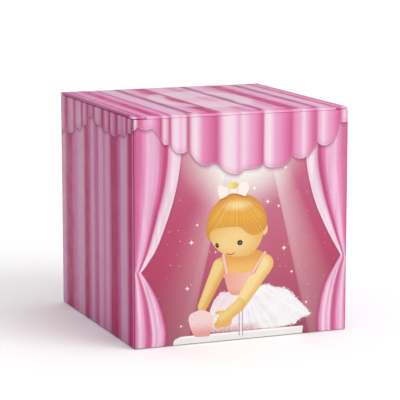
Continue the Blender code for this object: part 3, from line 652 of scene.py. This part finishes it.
def paint_curtain(art, edge, outer):
    """A satin curtain gathered at a tie, from the box edge to its free edge."""
    z = art.z
    free = z.track(edge)
    side = 1.0 if outer < 0 else -1.0
    inside = (free - art.x) * side
    width = (free - outer) * side
    part = (art.x - outer) * side / width * z.rise(50, 95, 1.05, 0.93)
    tie = 40.5
    below = part.ramp(HANGING_FOLDS, smooth=True)
    above = part.ramp(CURTAIN_FOLDS, smooth=True)
    gathered = art.blend(z.rise(tie - 1, tie + 1), below, above)
    sheen = art.noise(60.0, (6.0, 1.0, 0.6), 2.0).rise(0.3, 0.7, 0.90, 1.06)
    tone = art.tree.nodes.new("ShaderNodeHueSaturation")
    art.tree.links.new(sheen.socket, tone.inputs["Value"])
    art.tree.links.new(gathered, tone.inputs["Color"])
    shadow = inside.rise(-1.4, 0.0, 0.0, 0.35) * inside.rise(0.3, -0.1)
    art.cover(shadow, ink(120, 40, 70))
    art.cover(inside.rise(-0.15, 0.15), tone.outputs[0])


def joined(art, along, folds, more, join):
    """Tones across a whole face from two ramps that meet at join, because one ramp holds 32."""
    left = along.ramp(folds, -60, join)
    right = along.ramp(more, join, 60)
    return art.blend(art.x.rise(join - 0.1, join + 0.1), left, right)


def paint_valance(art, edge, folds, more, join):
    """The scalloped pelmet that hangs over the top, with a soft shadow under it."""
    drop = art.z - art.x.track(edge)
    art.darken(drop.rise(-2.8, -0.1, 0.0, 0.5) * drop.rise(0.2, -0.1), SHADOW)
    art.cover(drop.rise(-0.8, -0.1, 0.0, 0.55), OUTLINE)
    stripes = joined(art, art.x, folds, more, join)
    tone = art.blend(drop.rise(4.0, 0.3, 0.0, 0.30), stripes, ink(204, 104, 156))
    tone = art.blend(drop.rise(0.7, 0.3, 0.0, 0.22), tone, PALE)
    art.cover(drop.rise(-0.12, 0.18), tone)


def front_print():
    """The stage with the seated doll, between two tied curtains and under the pelmet."""
    art = Print("front_print", "X", "Z", gloss=0.2)
    paint_backdrop(art)
    paint_dancer(art)
    paint_curtain(art, LEFT_EDGE, -60.0)
    paint_curtain(art, RIGHT_EDGE, 60.0)
    paint_valance(art, VALANCE_EDGE, VALANCE_FOLDS, VALANCE_END, VALANCE_JOIN)
    return art.finish(0.79, 0.98)


SIDE_PALE = ink(240, 186, 214)
SIDE_MID = ink(230, 150, 192)
SIDE_DEEP = ink(194, 56, 108)
SIDE_PLUM = ink(218, 124, 174)
# folds of the side curtain, from the back edge to the front edge
SIDE_FOLDS = (
    (-60, SIDE_PALE), (-54.5, SIDE_PALE), (-51.5, SIDE_PLUM), (-47.5, SIDE_DEEP), (-42.5, SIDE_DEEP),
    (-39, SIDE_PLUM), (-34, SIDE_MID), (-28, SIDE_PALE), (-22, SIDE_PALE), (-20, SIDE_MID),
    (-17.5, SIDE_DEEP), (-14, SIDE_DEEP), (-11, SIDE_PLUM), (-6, SIDE_PALE), (0, SIDE_PLUM), (3, SIDE_PLUM),
    (6, SIDE_PALE), (9.5, SIDE_PALE), (13, SIDE_MID), (19, SIDE_PALE), (22.5, SIDE_MID), (26, SIDE_DEEP),
    (32, SIDE_DEEP), (37, SIDE_PLUM), (42, SIDE_PALE), (48, SIDE_PALE), (51, SIDE_PLUM), (53, SIDE_DEEP),
    (56.5, SIDE_DEEP), (58, SIDE_MID), (60, SIDE_PLUM),
)
SIDE_EDGE = (
    (-60, 96.4), (-57, 98.0), (-53, 99.4), (-49, 99.4), (-45, 99.1), (-40, 99.8), (-36.4, 101.2),
    (-33.2, 103.8, "cusp"), (-30, 103.4), (-27, 103.2), (-24, 104.2), (-21.4, 106.4, "cusp"), (-19, 106.4),
    (-16.6, 106.9), (-14, 109.6), (-11.6, 112.2, "cusp"), (-8, 112.4), (-4, 112.4), (-1.8, 111.4),
    (0, 110.2), (4, 109.4), (9, 109.7, "cusp"), (12.6, 108.4), (17, 107.5), (22, 108.2),
    (25, 107.4, "cusp"), (28, 106.8), (31, 106.7), (35.6, 108), (38, 109, "cusp"), (42.6, 108.7),
    (48.8, 110.2), (50.2, 111.5, "cusp"), (54, 111.1), (58, 112.8), (60, 113.2),
)
SIDE_VALANCE = (
    (-60, SIDE_MID), (-57, SIDE_PALE), (-53.6, SIDE_MID), (-51, SIDE_DEEP), (-46, SIDE_MID),
    (-41, SIDE_PALE), (-37.6, SIDE_MID), (-36, SIDE_DEEP), (-33.4, SIDE_MID), (-30, SIDE_PALE),
    (-25.4, SIDE_PALE), (-22.8, SIDE_DEEP), (-21, SIDE_MID), (-18.6, SIDE_PALE), (-15.4, SIDE_MID),
    (-13, SIDE_DEEP), (-10, SIDE_MID), (-5, SIDE_MID), (-2.5, SIDE_DEEP), (0.6, SIDE_PALE), (5, SIDE_PALE),
    (9, SIDE_MID), (11.6, SIDE_DEEP), (17.4, SIDE_PALE), (20.6, SIDE_MID), (23, SIDE_DEEP),
)
SIDE_JOIN = 23.0
SIDE_VALANCE_END = (
    (23, SIDE_DEEP), (26, SIDE_PALE), (30, SIDE_MID), (34.8, SIDE_DEEP), (37.6, SIDE_PALE), (43, SIDE_MID),
    (46.8, SIDE_PALE), (49.6, SIDE_DEEP), (52.6, SIDE_PALE), (56.4, SIDE_MID), (57.8, SIDE_DEEP),
    (60, SIDE_PALE),
)


def side_print(name, across, depth, richness):
    """Closed satin curtain under a stepped valance that rises towards the front."""
    art = Print(name, across, "Z", gloss=0.12)
    sway = art.noise(9.0, (1.0, 1.0, 0.5), 1.0) - 0.5
    folds = art.x + sway * 2.4
    art.color = folds.ramp(SIDE_FOLDS, -60, 60, smooth=True)
    satin = art.noise(70.0, (5.0, 5.0, 0.5), 2.0).rise(0.3, 0.7, 0.0, 0.16)
    art.cover(satin, SIDE_PALE)
    art.darken(art.z.rise(10, 0, 0.0, 0.12), SHADOW)
    paint_valance(art, SIDE_EDGE, SIDE_VALANCE, SIDE_VALANCE_END, SIDE_JOIN)
    art.cover(art.x.rise(58.9, 59.7, 0.0, 0.6), OUTLINE)
    return art.finish(depth, richness)


TOP_PINK = ink(236, 160, 200)
TOP_PALE = ink(238, 196, 218)
TOP_DEEP = ink(194, 76, 126)
TOP_LINE = ink(176, 92, 136)
# folds that run from front to back over the lid, left to right
TOP_FOLDS = (
    (-60, TOP_LINE), (-58.4, TOP_LINE), (-57, TOP_PINK), (-55.4, TOP_LINE), (-53.6, TOP_PINK),
    (-50.6, TOP_PINK), (-48.4, TOP_DEEP), (-45.6, TOP_DEEP), (-43.6, TOP_PINK), (-41, TOP_PINK),
    (-39.2, TOP_LINE), (-37.4, TOP_PALE), (-31, TOP_PALE), (-28.6, TOP_LINE), (-26.6, TOP_LINE),
    (-24.6, TOP_PALE), (-20, TOP_PINK), (-16.4, TOP_DEEP), (-11.6, TOP_DEEP), (-9.6, TOP_PALE),
    (-1, TOP_PALE), (1.6, TOP_PINK),
)
TOP_JOIN = 1.6
TOP_FOLDS_END = (
    (1.6, TOP_PINK), (4, ink(220, 156, 190)), (6, TOP_PINK), (9, TOP_PALE), (11.4, TOP_LINE),
    (13.6, TOP_LINE), (15.4, TOP_PALE), (19, TOP_PALE), (23, TOP_PINK), (26, TOP_PINK), (27.6, TOP_DEEP),
    (32.6, TOP_DEEP), (34.4, TOP_PINK), (40, TOP_PALE), (42.6, TOP_LINE), (44.6, TOP_LINE),
    (46.4, TOP_PALE), (51, TOP_PALE), (53.4, TOP_DEEP), (55.4, TOP_PINK), (57.4, TOP_PINK), (59, TOP_LINE),
    (60, TOP_LINE),
)


def lid_print():
    """Pleats over the lid, a painted highlight along the front fold, and a soft round glow in the middle."""
    art = Print("lid_print", "X", "Y", gloss=0.08)
    x, depth = art.x, art.z
    sway = art.noise(9.0, (1.0, 0.5, 1.0), 1.0) - 0.5
    folds = x + sway * 1.6
    art.color = joined(art, folds, TOP_FOLDS, TOP_FOLDS_END, TOP_JOIN)
    satin = art.noise(70.0, (5.0, 0.5, 5.0), 2.0).rise(0.3, 0.7, 0.0, 0.2)
    art.cover(satin, TOP_PALE)
    far = (((x - 0.5) / 22.0) ** 2.0 + ((depth - 1.0) / 34.0) ** 2.0).sqrt()
    ring = (far - 1.0).abs().rise(0.30, 0.10) * x.abs().rise(11, 15) * depth.abs().rise(34, 24)
    column = x.abs().rise(11.0, 9.0) * depth.abs().rise(38, 34) * depth.abs().rise(4, 16, 0.35, 1.0)
    pale = ink(242, 222, 233)
    art.cover(ring * 0.7, pale)
    art.cover(column * 0.7, pale)
    edge = joined(art, x, VALANCE_FOLDS, VALANCE_END, VALANCE_JOIN)
    art.cover(depth.rise(-52, -58.5), edge)
    # A paler band and a bright line along the front fold: painted highlight where the rounded fold meets the
    # light.
    art.cover(depth.rise(-56.5, -59.6, 0.0, 0.35), ink(250, 206, 230))
    art.cover(depth.rise(-59.3, -59.8, 0.0, 0.12), ink(255, 236, 244))
    return art.finish(0.84, 1.25)


# --- meshes ---
def new_piece(name, mesh, looks, smooth=None):
    """A linked object from a bmesh; smooth is the angle in degrees that stays sharp."""
    data = bpy.data.meshes.new(name)
    mesh.to_mesh(data)
    mesh.free()
    for look in looks:
        data.materials.append(look)
    if smooth is not None:
        data.shade_smooth()
        data.set_sharp_from_angle(angle=math.radians(smooth))
    piece = bpy.data.objects.new(name, data)
    bpy.context.scene.collection.objects.link(piece)
    return piece


def wall_panel(name, turn, look):
    """One face of the wrap, with half of each rounded upright edge and the turned-over rim."""
    card = 0.0004
    radius = 0.0006
    rim = 0.0033
    ply = 0.0002
    seam = 0.00001
    low = SLEEVE_LOW[2]
    high = SLEEVE_HIGH[2]
    section = [(0.0, low), (0.0, high - card)]
    for step in (30, 60, 90):
        angle = math.radians(step)
        section.append((card * (1 - math.cos(angle)), high - card + card * math.sin(angle)))
    section += [(card + rim, high), (card + rim, high - ply), (card, high - ply), (card, low)]
    mesh = bmesh.new()
    rows = []
    for depth, height in section:
        bend = max(radius - depth, 0.00004)
        flat = HALF - depth - bend
        right = []
        for step in (0, 15, 30, 45):
            angle = math.radians(step)
            right.append((flat + bend * math.sin(angle) - seam, -flat - bend * math.cos(angle)))
        row = [(-x, y) for x, y in reversed(right)] + right
        rows.append([mesh.verts.new((x, y, height)) for x, y in row])
    for index, row in enumerate(rows):
        after = rows[(index + 1) % len(rows)]
        for column in range(len(row) - 1):
            mesh.faces.new((row[column], row[column + 1], after[column + 1], after[column]))
    mesh.faces.new([row[0] for row in rows])
    mesh.faces.new([row[-1] for row in reversed(rows)])
    bmesh.ops.recalc_face_normals(mesh, faces=mesh.faces)
    facing = Matrix.Rotation(math.radians(turn), 3, "Z")
    bmesh.ops.rotate(mesh, verts=mesh.verts, cent=(0, 0, 0), matrix=facing)
    return new_piece(name, mesh, [look], smooth=40)


def settle(piece):
    """Makes a piece's modifiers its own mesh."""
    bpy.context.view_layer.update()
    graph = bpy.context.evaluated_depsgraph_get()
    done = bpy.data.meshes.new_from_object(piece.evaluated_get(graph))
    old = piece.data
    piece.modifiers.clear()
    piece.data = done
    bpy.data.meshes.remove(old)


def carve(piece, cutters):
    """Cuts closed meshes out of a piece."""
    for cutter in cutters:
        tool = new_piece("cutter", cutter, [])
        cut = piece.modifiers.new("cut", "BOOLEAN")
        cut.operation = "DIFFERENCE"
        cut.solver = "EXACT"
        cut.object = tool
        settle(piece)
        bpy.data.objects.remove(tool)


def block(low, high):
    """A plain cutter from its lowest to its highest corner."""
    mesh = bmesh.new()
    size = [b - a for a, b in zip(low, high)]
    middle = [(a + b) / 2 for a, b in zip(low, high)]
    bmesh.ops.create_cube(mesh, size=1.0, matrix=Matrix.Translation(middle) @ Matrix.Diagonal((*size, 1.0)))
    return mesh


def bore(x, z, radius):
    """A round cutter through the back wall."""
    mesh = bmesh.new()
    place = Matrix.Translation((x, HALF, z)) @ Matrix.Rotation(math.pi / 2, 4, "X")
    bmesh.ops.create_cone(
        mesh, cap_ends=True, segments=48, radius1=radius, radius2=radius, depth=0.004, matrix=place,
    )
    return mesh


def softened(node, name, width, looks, steps=2):
    """A copy of a CAD node with its hard edges rounded."""
    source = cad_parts[node]
    mesh = bmesh.new()
    mesh.from_mesh(source.data)
    mesh.transform(source.matrix_world)
    bmesh.ops.remove_doubles(mesh, verts=mesh.verts, dist=0.00001)
    bmesh.ops.dissolve_limit(mesh, angle_limit=math.radians(2), verts=mesh.verts, edges=mesh.edges)
    piece = new_piece(name, mesh, looks)
    bevel = piece.modifiers.new("bevel", "BEVEL")
    bevel.width = width
    bevel.segments = steps
    bevel.limit_method = "ANGLE"
    bevel.angle_limit = math.radians(30)
    bevel.use_clamp_overlap = True
    settle(piece)
    piece.data.shade_smooth()
    piece.data.set_sharp_from_angle(angle=math.radians(40))
    return piece


def belongs(piece, body, slot, *nodes):
    """Says what a piece rides and which CAD nodes it stands for; slot, where its finish comes from, is not
    used.
    """
    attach(piece, body)
    if nodes:
        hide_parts(*nodes)


def dress(look, *nodes):
    """Gives CAD nodes a better material."""
    for node in nodes:
        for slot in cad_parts[node].material_slots:
            slot.material = look


def make_wrap():
    """Four printed walls, the back one with room for hinges, key and screws, and the printed lid."""
    front = wall_panel("front_panel_print", 0, front_print())
    # The left wall has the same print as the right one, made darker and more saturated: painted shade for
    # the wall that faces away from the key light.
    left = wall_panel("left_panel_print", -90, side_print("left_print_shaded", "-Y", 0.62, 1.24))
    right = wall_panel("right_panel_print", 90, side_print("right_print", "-Y", 0.80, 0.95))
    back = wall_panel("back_panel_print", 180, side_print("back_print", "X", 0.78, 1.0))
    cutters = []
    slack = 0.0003
    notch = 0.003
    beyond = 0.001
    for side in ("left", "right"):
        low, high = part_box("hinge_fixed_leaf_" + side)
        cutters.append(block(
            (low[0] - slack, low[1] - slack, SLEEVE_HIGH[2] - notch),
            (high[0] + slack, HALF + beyond, SLEEVE_HIGH[2] + beyond),
        ))
    holes = [("winding_arbor", 0.003)]
    holes += [(f"movement_screw_{number}", 0.0016) for number in (1, 2, 3)]
    for node, radius in holes:
        low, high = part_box(node)
        cutters.append(bore((low[0] + high[0]) / 2, (low[2] + high[2]) / 2, radius))
    carve(back, cutters)
    for panel in (front, left, right, back):
        belongs(panel, "case", "printed_wrap", "wrap_sleeve")
    lid = softened("lid_plate", "lid_panel_print", 0.0003, [lid_print()], 3)
    fold = 0.0005
    seam_closed = 0.8
    for vertex in lid.data.vertices:
        if vertex.co.y < -HALF + fold and vertex.co.z < (LID_LOW[2] + LID_HIGH[2]) / 2:
            vertex.co.z -= (LID_LOW[2] - SLEEVE_HIGH[2]) * seam_closed
    belongs(lid, "lid", "printed_wrap", "lid_plate")


# --- soft pads of the jewellery well ---
PAD_SCALE = 10.0             # the pads are simulated at this many times their size
PAD_VOXEL = 0.0105
PAD_PRESSURE = 4.0
PAD_FRAMES = 16


def soft_pads(look):
    """Velvet pad and ring rolls, blown up a little as cloth and kept inside the room they have."""
    pads = []
    for node in ("well_pad", "ring_roll_1", "ring_roll_2", "ring_roll_3"):
        low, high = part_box(node)
        middle = Vector([(a + b) / 2 for a, b in zip(low, high)])
        size = Vector([b - a for a, b in zip(low, high)])
        mesh = bmesh.new()
        if node == "well_pad":
            bmesh.ops.create_cube(mesh, size=1.0)
            shape = Matrix.Diagonal((size.x - 0.0014, size.y - 0.0014, size.z - 0.0012, 1.0))
        else:
            bmesh.ops.create_cone(
                mesh, cap_ends=True, segments=48, radius1=0.5, radius2=0.5, depth=1.0,
                matrix=Matrix.Rotation(math.pi / 2, 4, "Y"),
            )
            shape = Matrix.Diagonal((size.x - 0.0008, size.y - 0.0012, size.z - 0.0012, 1.0))
        mesh.transform(Matrix.Scale(PAD_SCALE, 4) @ shape)
        piece = new_piece(node + "_velvet", mesh, [look])
        remesh = piece.modifiers.new("remesh", "REMESH")
        remesh.mode = "VOXEL"
        remesh.voxel_size = PAD_VOXEL
        settle(piece)
        pads.append((piece, node, middle, size))
    scene = bpy.context.scene
    for piece, *_ in pads:
        cloth = piece.modifiers.new("cloth", "CLOTH")
        cloth.settings.use_pressure = True
        cloth.settings.uniform_pressure_force = PAD_PRESSURE
        cloth.settings.quality = 4
        cloth.settings.effector_weights.gravity = 0.0
        cloth.point_cache.frame_start = 1
        cloth.point_cache.frame_end = PAD_FRAMES
    for step in range(1, PAD_FRAMES + 1):
        scene.frame_set(step)
    for piece, *_ in pads:
        settle(piece)
    scene.frame_set(1)
    for piece, node, middle, size in pads:
        room = size / 2
        for vertex in piece.data.vertices:
            spot = vertex.co / PAD_SCALE
            for axis in range(3):
                spot[axis] = max(-room[axis], min(room[axis], spot[axis]))
            vertex.co = spot + middle
        finer = piece.modifiers.new("finer", "SUBSURF")
        finer.levels = finer.render_levels = 1
        settle(piece)
        piece.data.shade_smooth()
        belongs(piece, "case", "plush", node)


# --- the dancer ---
DANCER_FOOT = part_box("dancer_figure")[0][2]
SPINDLE_LOW, SPINDLE_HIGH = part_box("spindle")
DANCER_AXIS = ((SPINDLE_LOW[0] + SPINDLE_HIGH[0]) / 2, (SPINDLE_LOW[1] + SPINDLE_HIGH[1]) / 2)


def on_stage(x, y, z):
    """Millimetres from the dancer's toe to a place in the frame."""
    return Vector((DANCER_AXIS[0] + x * MM, DANCER_AXIS[1] + y * MM, DANCER_FOOT + z * MM))


def moulded(name, parts, look, voxel=0.00028, rounds=3):
    """Round tapering parts, each (start, radius, end, radius) in millimetres, as one moulding."""
    mesh = bmesh.new()
    for start, start_r, end, end_r in parts:
        first = on_stage(*start)
        last = on_stage(*end)
        run = last - first
        for place, radius in ((first, start_r), (last, end_r)):
            bmesh.ops.create_uvsphere(
                mesh, u_segments=24, v_segments=16, radius=radius * MM, matrix=Matrix.Translation(place),
            )
        if run.length > 0.1 * MM:
            turn = run.to_track_quat("Z", "Y").to_matrix().to_4x4()
            bmesh.ops.create_cone(
                mesh, cap_ends=True, segments=24, radius1=start_r * MM, radius2=end_r * MM, depth=run.length,
                matrix=Matrix.Translation((first + last) / 2) @ turn,
            )
    piece = new_piece(name, mesh, [look])
    remesh = piece.modifiers.new("remesh", "REMESH")
    remesh.mode = "VOXEL"
    remesh.voxel_size = voxel
    smooth = piece.modifiers.new("smooth", "SMOOTH")
    smooth.factor = 0.6
    smooth.iterations = rounds
    settle(piece)
    piece.data.shade_smooth()
    return piece


def ruffle(name, inner, outer, height, droop, waves, swing, phase, look):
    """A gathered ring of tulle round the waist; radii and heights in millimetres."""
    rings = 14
    around = waves * 12
    mesh = bmesh.new()
    rows = []
    for ring in range(rings + 1):
        part = ring / rings
        radius = inner + (outer - inner) * part
        row = []
        for index in range(around):
            angle = 2 * math.pi * index / around
            wave = math.sin(waves * angle + phase) + 0.35 * math.sin(2 * waves * angle + 2.1 * phase)
            lift = swing * part ** 1.2 * wave - droop * part ** 2
            reach = radius * (1 + 0.012 * part * math.sin(3 * waves * angle + phase))
            spot = on_stage(reach * math.cos(angle), reach * math.sin(angle), height + lift)
            row.append(mesh.verts.new(spot))
        rows.append(row)
    for row, after in zip(rows, rows[1:]):
        for index in range(around):
            beside = (index + 1) % around
            mesh.faces.new((row[index], row[beside], after[beside], after[index]))
    area = sum(face.calc_area() for face in mesh.faces)
    piece = new_piece(name, mesh, [look])
    piece.data.shade_smooth()
    belongs(piece, "dancer", "tulle", "dancer_tutu")
    width = (outer - inner) * MM * 1.03
    area / width


def make_dancer():
    """The turning doll: arms raised, one leg bent, places in millimetres from the toe."""
    skin = painted("doll_skin", DOLL_PALE, DOLL_WARM, 260, (0.28, 0.4), 0.05, coat_weight=0.3)
    body = moulded("dancer_body", (
        ((0, 0, 1.2), 0.6, (0.1, 0, 4.4), 0.78), ((0.1, 0, 4.4), 0.78, (0.3, -0.2, 8.8), 1.15),
        ((0.3, -0.2, 8.8), 1.1, (1.0, 0, 13.6), 1.75),
        ((-1.0, 0, 13.6), 1.75, (-4.3, -2.6, 10.7), 1.2),
        ((-4.3, -2.6, 10.7), 1.15, (-1.3, -1.8, 7.6), 0.8),
        ((-2.6, 0, 22.7), 0.95, (2.6, 0, 22.7), 0.95), ((0, 0, 19.5), 1.9, (0, 0, 22.4), 1.9),
        ((0, 0, 22.8), 1.0, (0, 0, 25.4), 0.95),
        ((2.7, 0, 22.7), 0.92, (5.7, -0.6, 27.4), 0.8),
        ((5.7, -0.6, 27.4), 0.78, (3.4, -1.1, 33.2), 0.58),
        ((3.4, -1.1, 33.2), 0.58, (1.5, -1.2, 35.9), 0.62),
        ((-2.7, 0, 22.7), 0.92, (-5.7, -0.6, 27.4), 0.8),
        ((-5.7, -0.6, 27.4), 0.78, (-3.4, -1.1, 33.2), 0.58),
        ((-3.4, -1.1, 33.2), 0.58, (-1.5, -1.2, 35.9), 0.62),
    ), skin)
    head = moulded("dancer_head", (
        ((0, -0.2, 28.3), 3.35, (0, -0.3, 27.6), 3.3), ((3.3, 0, 27.6), 0.55, (3.3, 0, 28.0), 0.5),
        ((-3.3, 0, 27.6), 0.55, (-3.3, 0, 28.0), 0.5), ((0, -3.4, 27.4), 0.3, (0, -3.5, 27.3), 0.28),
    ), doll_face())
    hair_look = painted(
        "doll_hair", ink(246, 196, 92), ink(206, 138, 40), 1500, (0.25, 0.4), 0.5, (1.0, 0.35, 0.12),
        coat_weight=0.3,
    )
    hair = moulded("dancer_hair", (((0, 0.25, 28.8), 3.5, (0, 0.7, 28.2), 3.3),), hair_look, rounds=1)
    face_opening = block(on_stage(-2.9, -9, 20), on_stage(2.9, -1.0, 29.7))
    under_hairline = block(on_stage(-6, -9, 20), on_stage(6, 2.0, 26.9))
    carve(hair, [face_opening, under_hairline])
    knot = moulded("dancer_bun", (((0, 1.0, 32.2), 1.25, (0, 1.1, 32.4), 1.2),), hair_look)
    silk = painted("doll_silk", ink(244, 188, 190), ink(232, 160, 168), 2200)
    bow = moulded("dancer_bow", (
        ((0, -0.3, 32.2), 0.35, (1.5, -0.4, 32.7), 0.62), ((0, -0.3, 32.2), 0.35, (-1.5, -0.4, 32.7), 0.62),
    ), silk, 0.00018, 2)
    bodice = moulded("dancer_bodice", (
        ((0, 0, 14.2), 2.75, (0, 0, 15.0), 2.5), ((0, 0, 15.0), 2.4, (0, 0, 18.4), 1.85),
        ((0, 0, 18.4), 1.85, (0, -0.1, 21.0), 2.3), ((1.9, -0.2, 21.0), 0.55, (2.5, 0, 23.5), 0.4),
        ((-1.9, -0.2, 21.0), 0.55, (-2.5, 0, 23.5), 0.4),
    ), silk)
    shoes = moulded("dancer_shoes", (
        ((0, 0, 0.72), 0.72, (0.05, 0, 2.3), 0.9), ((0.05, 0, 2.3), 0.9, (0.1, 0.2, 3.4), 0.86),
        ((-0.5, -1.4, 5.9), 0.62, (-1.1, -1.7, 7.4), 0.88),
    ), silk, 0.0002, 2)
    for piece in (body, head, hair, knot, bow, bodice, shoes):
        belongs(piece, "dancer", "doll", "dancer_figure")
    tulle = tulle_look()
    ruffle("dancer_tulle_1", 2.4, 16.2, 14.0, 1.6, 18, 0.75, 0.0, tulle)
    ruffle("dancer_tulle_2", 2.1, 14.8, 14.9, 1.2, 16, 0.8, 1.3, tulle)
    ruffle("dancer_tulle_3", 1.9, 13.0, 15.8, 0.6, 15, 0.8, 2.4, tulle)


# --- finishes of the inside and the movement ---
def painted(name, pale, dark, scale, roughness=(0.3, 0.45), bump=0.15, stretch=(1.0, 1.0, 1.0), **sockets):
    """A finish of two close tones in cloudy noise, with uneven gloss and a faint relief."""
    art = Print(name, "X", "Z")
    mottle = art.noise(scale, stretch, 4.0, 0.6)
    art.color = art.blend(mottle.rise(0.3, 0.7), dark, pale)
    gloss = art.noise(scale * 0.4, stretch).rise(0.3, 0.7, *roughness)
    art.tree.links.new(gloss.socket, art.shader.inputs["Roughness"])
    art.relief(mottle, bump)
    return art.show(**{"coat_weight": 0.0, **sockets})


DOLL_PALE = ink(250, 206, 150)
DOLL_WARM = ink(240, 186, 122)


def doll_face():
    """Painted dot eyes with a painted highlight in each, a small smile and pink cheeks on the side that
    faces the front.
    """
    art = Print("doll_face", "X", "Z", 0.3)
    x = art.x - DANCER_AXIS[0] / MM
    z = art.z - DANCER_FOOT / MM
    art.x = x
    art.z = z
    tint = art.noise(260.0)
    art.color = art.blend(tint.rise(0.3, 0.7), DOLL_WARM, DOLL_PALE)
    middle = DANCER_AXIS[1] / MM
    front = art.along("Y").rise(middle - 1.6, middle - 1.9)
    for side in (-1, 1):
        blush = art.oval(side * 2.0, 26.6, 0.9, 0.6, soft=0.9)
        art.cover(blush * front * 0.45, ink(240, 140, 130))
        art.cover(art.oval(side * 1.35, 28.0, 0.36, 0.46, soft=0.06) * front, ink(50, 38, 30))
        # A small pale dot in each eye: painted highlight.
        art.cover(art.oval(side * 1.35 + 0.1, 28.15, 0.11, 0.12, soft=0.04) * front, ink(235, 230, 225))
    smile = (z - x * x * 0.22 - 26.35).abs().rise(0.14, 0.06) * x.abs().rise(0.95, 0.8)
    art.cover(smile * front, ink(196, 84, 70))
    return art.show()


def tulle_look():
    """Fine net in white and blush, shown as crossing threads and cloudy gathers."""
    art = Print("tulle", "X", "Y", 0.7)
    right = art.x - DANCER_AXIS[0] / MM
    high = art.z - DANCER_AXIS[1] / MM
    angle = high.math("ARCTAN2", right)
    far = (right * right + high * high).sqrt()
    gathers = (angle * 60.0).math("SINE").abs()
    net = (art.x * 9.0).math("SINE").abs().min((art.z * 9.0).math("SINE").abs())
    art.color = art.blend(far.rise(3, 16), ink(246, 214, 224), ink(252, 240, 245))
    art.darken(net.rise(0.35, 0.05, 0.0, 0.35), ink(232, 196, 210))
    art.darken(gathers.rise(0.4, 0.0, 0.0, 0.3), ink(236, 200, 214))
    art.relief(net, 0.4)
    return art.show(coat_weight=0.0, sheen_weight=0.4)


def lining_look(name, across, up):
    """Pale pink lining paper with small embossed dots."""
    art = Print(name, across, up, 0.5)
    pitch = 5.0
    dots = None
    for offset in (0.0, 0.5):
        right = (art.x / pitch + offset).math("FRACT") - 0.5
        high = (art.z / pitch + offset).math("FRACT") - 0.5
        dot = (right * right + high * high).sqrt().rise(0.17, 0.13)
        dots = dot if dots is None else dots.max(dot)
    cloud = art.noise(140.0)
    art.color = art.blend(cloud.rise(0.3, 0.7), ink(236, 176, 196), ink(244, 196, 212))
    art.cover(dots * 0.75, ink(252, 228, 236))
    speck = art.noise(2600.0, detail=2.0)
    art.darken(speck.rise(0.7, 0.3, 0.0, 0.12), ink(220, 150, 175))
    art.relief(dots + speck * 0.3, 0.5, 0.00015)
    return art.show(coat_weight=0.05)


def cylinder_look():
    """Brass with rows of small steel pins."""
    art = Print("pinned_brass", "X", "Z", 0.3)
    low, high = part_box("cylinder")
    back = art.along("Y") - (low[1] + high[1]) / 2 / MM
    rise = art.z - (low[2] + high[2]) / 2 / MM
    angle = back.math("ARCTAN2", rise) * ((high[2] - low[2]) / 2 / MM)
    cells = art.cells(art.x, angle, 0.8, 0.55)
    pin = Value(art.tree, cells.outputs["Distance"]).rise(0.17, 0.13)
    art.color = art.blend(art.noise(500.0).rise(0.3, 0.7), ink(196, 150, 74), ink(222, 182, 104))
    art.cover(pin, ink(206, 206, 208))
    art.relief(pin, 0.8, 0.0003)
    return art.show(metallic=1.0)


def dress_nodes():
    """Finishes for every CAD node that stays, then the key and the soft pads."""
    brass = painted(
        "brass", ink(232, 200, 128), ink(218, 180, 104), 420, (0.2, 0.36), 0.08, (1.0, 1.0, 6.0),
        metallic=1.0,
    )
    steel = painted(
        "steel", ink(200, 200, 204), ink(166, 167, 172), 700, (0.22, 0.36), 0.12, (1.0, 8.0, 1.0),
        metallic=1.0,
    )
    zinc = painted("zinc", ink(176, 178, 182), ink(146, 148, 152), 900, (0.42, 0.6), 0.5, metallic=1.0)
    nylon = painted("nylon", ink(240, 240, 234), ink(226, 226, 218), 320, (0.4, 0.55), 0.1)
    board = painted(
        "greyboard", ink(168, 160, 152), ink(132, 124, 117), 1400, (0.8, 0.95), 0.6, (1.0, 1.0, 0.5),
    )
    velvet = painted(
        "velvet", ink(232, 150, 178), ink(206, 112, 146), 2400, (0.85, 1.0), 0.7,
        sheen_weight=0.9, sheen_roughness=0.4,
    )
    glass = painted("mirror", ink(240, 242, 243), ink(234, 237, 239), 40, (0.02, 0.05), 0.0, metallic=1.0)
    lining_x = lining_look("lining_x", "X", "Z")
    lining_y = lining_look("lining_y", "Y", "Z")
    lining_flat = lining_look("lining_flat", "X", "Y")
    dress(board, "base_panel")
    dress(lining_x, "front_board", "back_board", "deck_riser", "tuck_lip")
    dress(lining_y, "left_board", "right_board", "well_divider")
    dress(lining_flat, "deck", "well_floor", "lid_board", "mirror_frame")
    dress(
        brass, "stage_collar", "hinge_fixed_leaf_left", "hinge_fixed_leaf_right", "hinge_lid_leaf_left",
        "hinge_lid_leaf_right", "cylinder_pinion", "great_wheel", "barrel_gear", "barrel_drum",
        "second_wheel", "bearing_left", "bearing_right", "governor_frame", "stop_rod",
    )
    dress(
        steel, "hinge_pin_left", "hinge_pin_right", "hinge_screw_1", "hinge_screw_2", "hinge_screw_3",
        "hinge_screw_4", "comb", "comb_screw_1", "comb_screw_2", "cylinder_arbor", "mainspring",
        "winding_arbor", "governor_worm", "movement_screw_1", "movement_screw_2", "movement_screw_3",
        "spindle", "dancer_spring",
    )
    dress(zinc, "bedplate")
    dress(nylon, "take_off_wheel", "air_fan")
    dress(glass, "mirror")
    dress(cylinder_look(), "cylinder")
    key = softened("winding_key", "winding_key_finished", 0.0003, [brass])
    belongs(key, "winder", "brass", "winding_key")
    soft_pads(velvet)


make_camera()
make_stage()
make_wrap()
dress_nodes()
make_dancer()
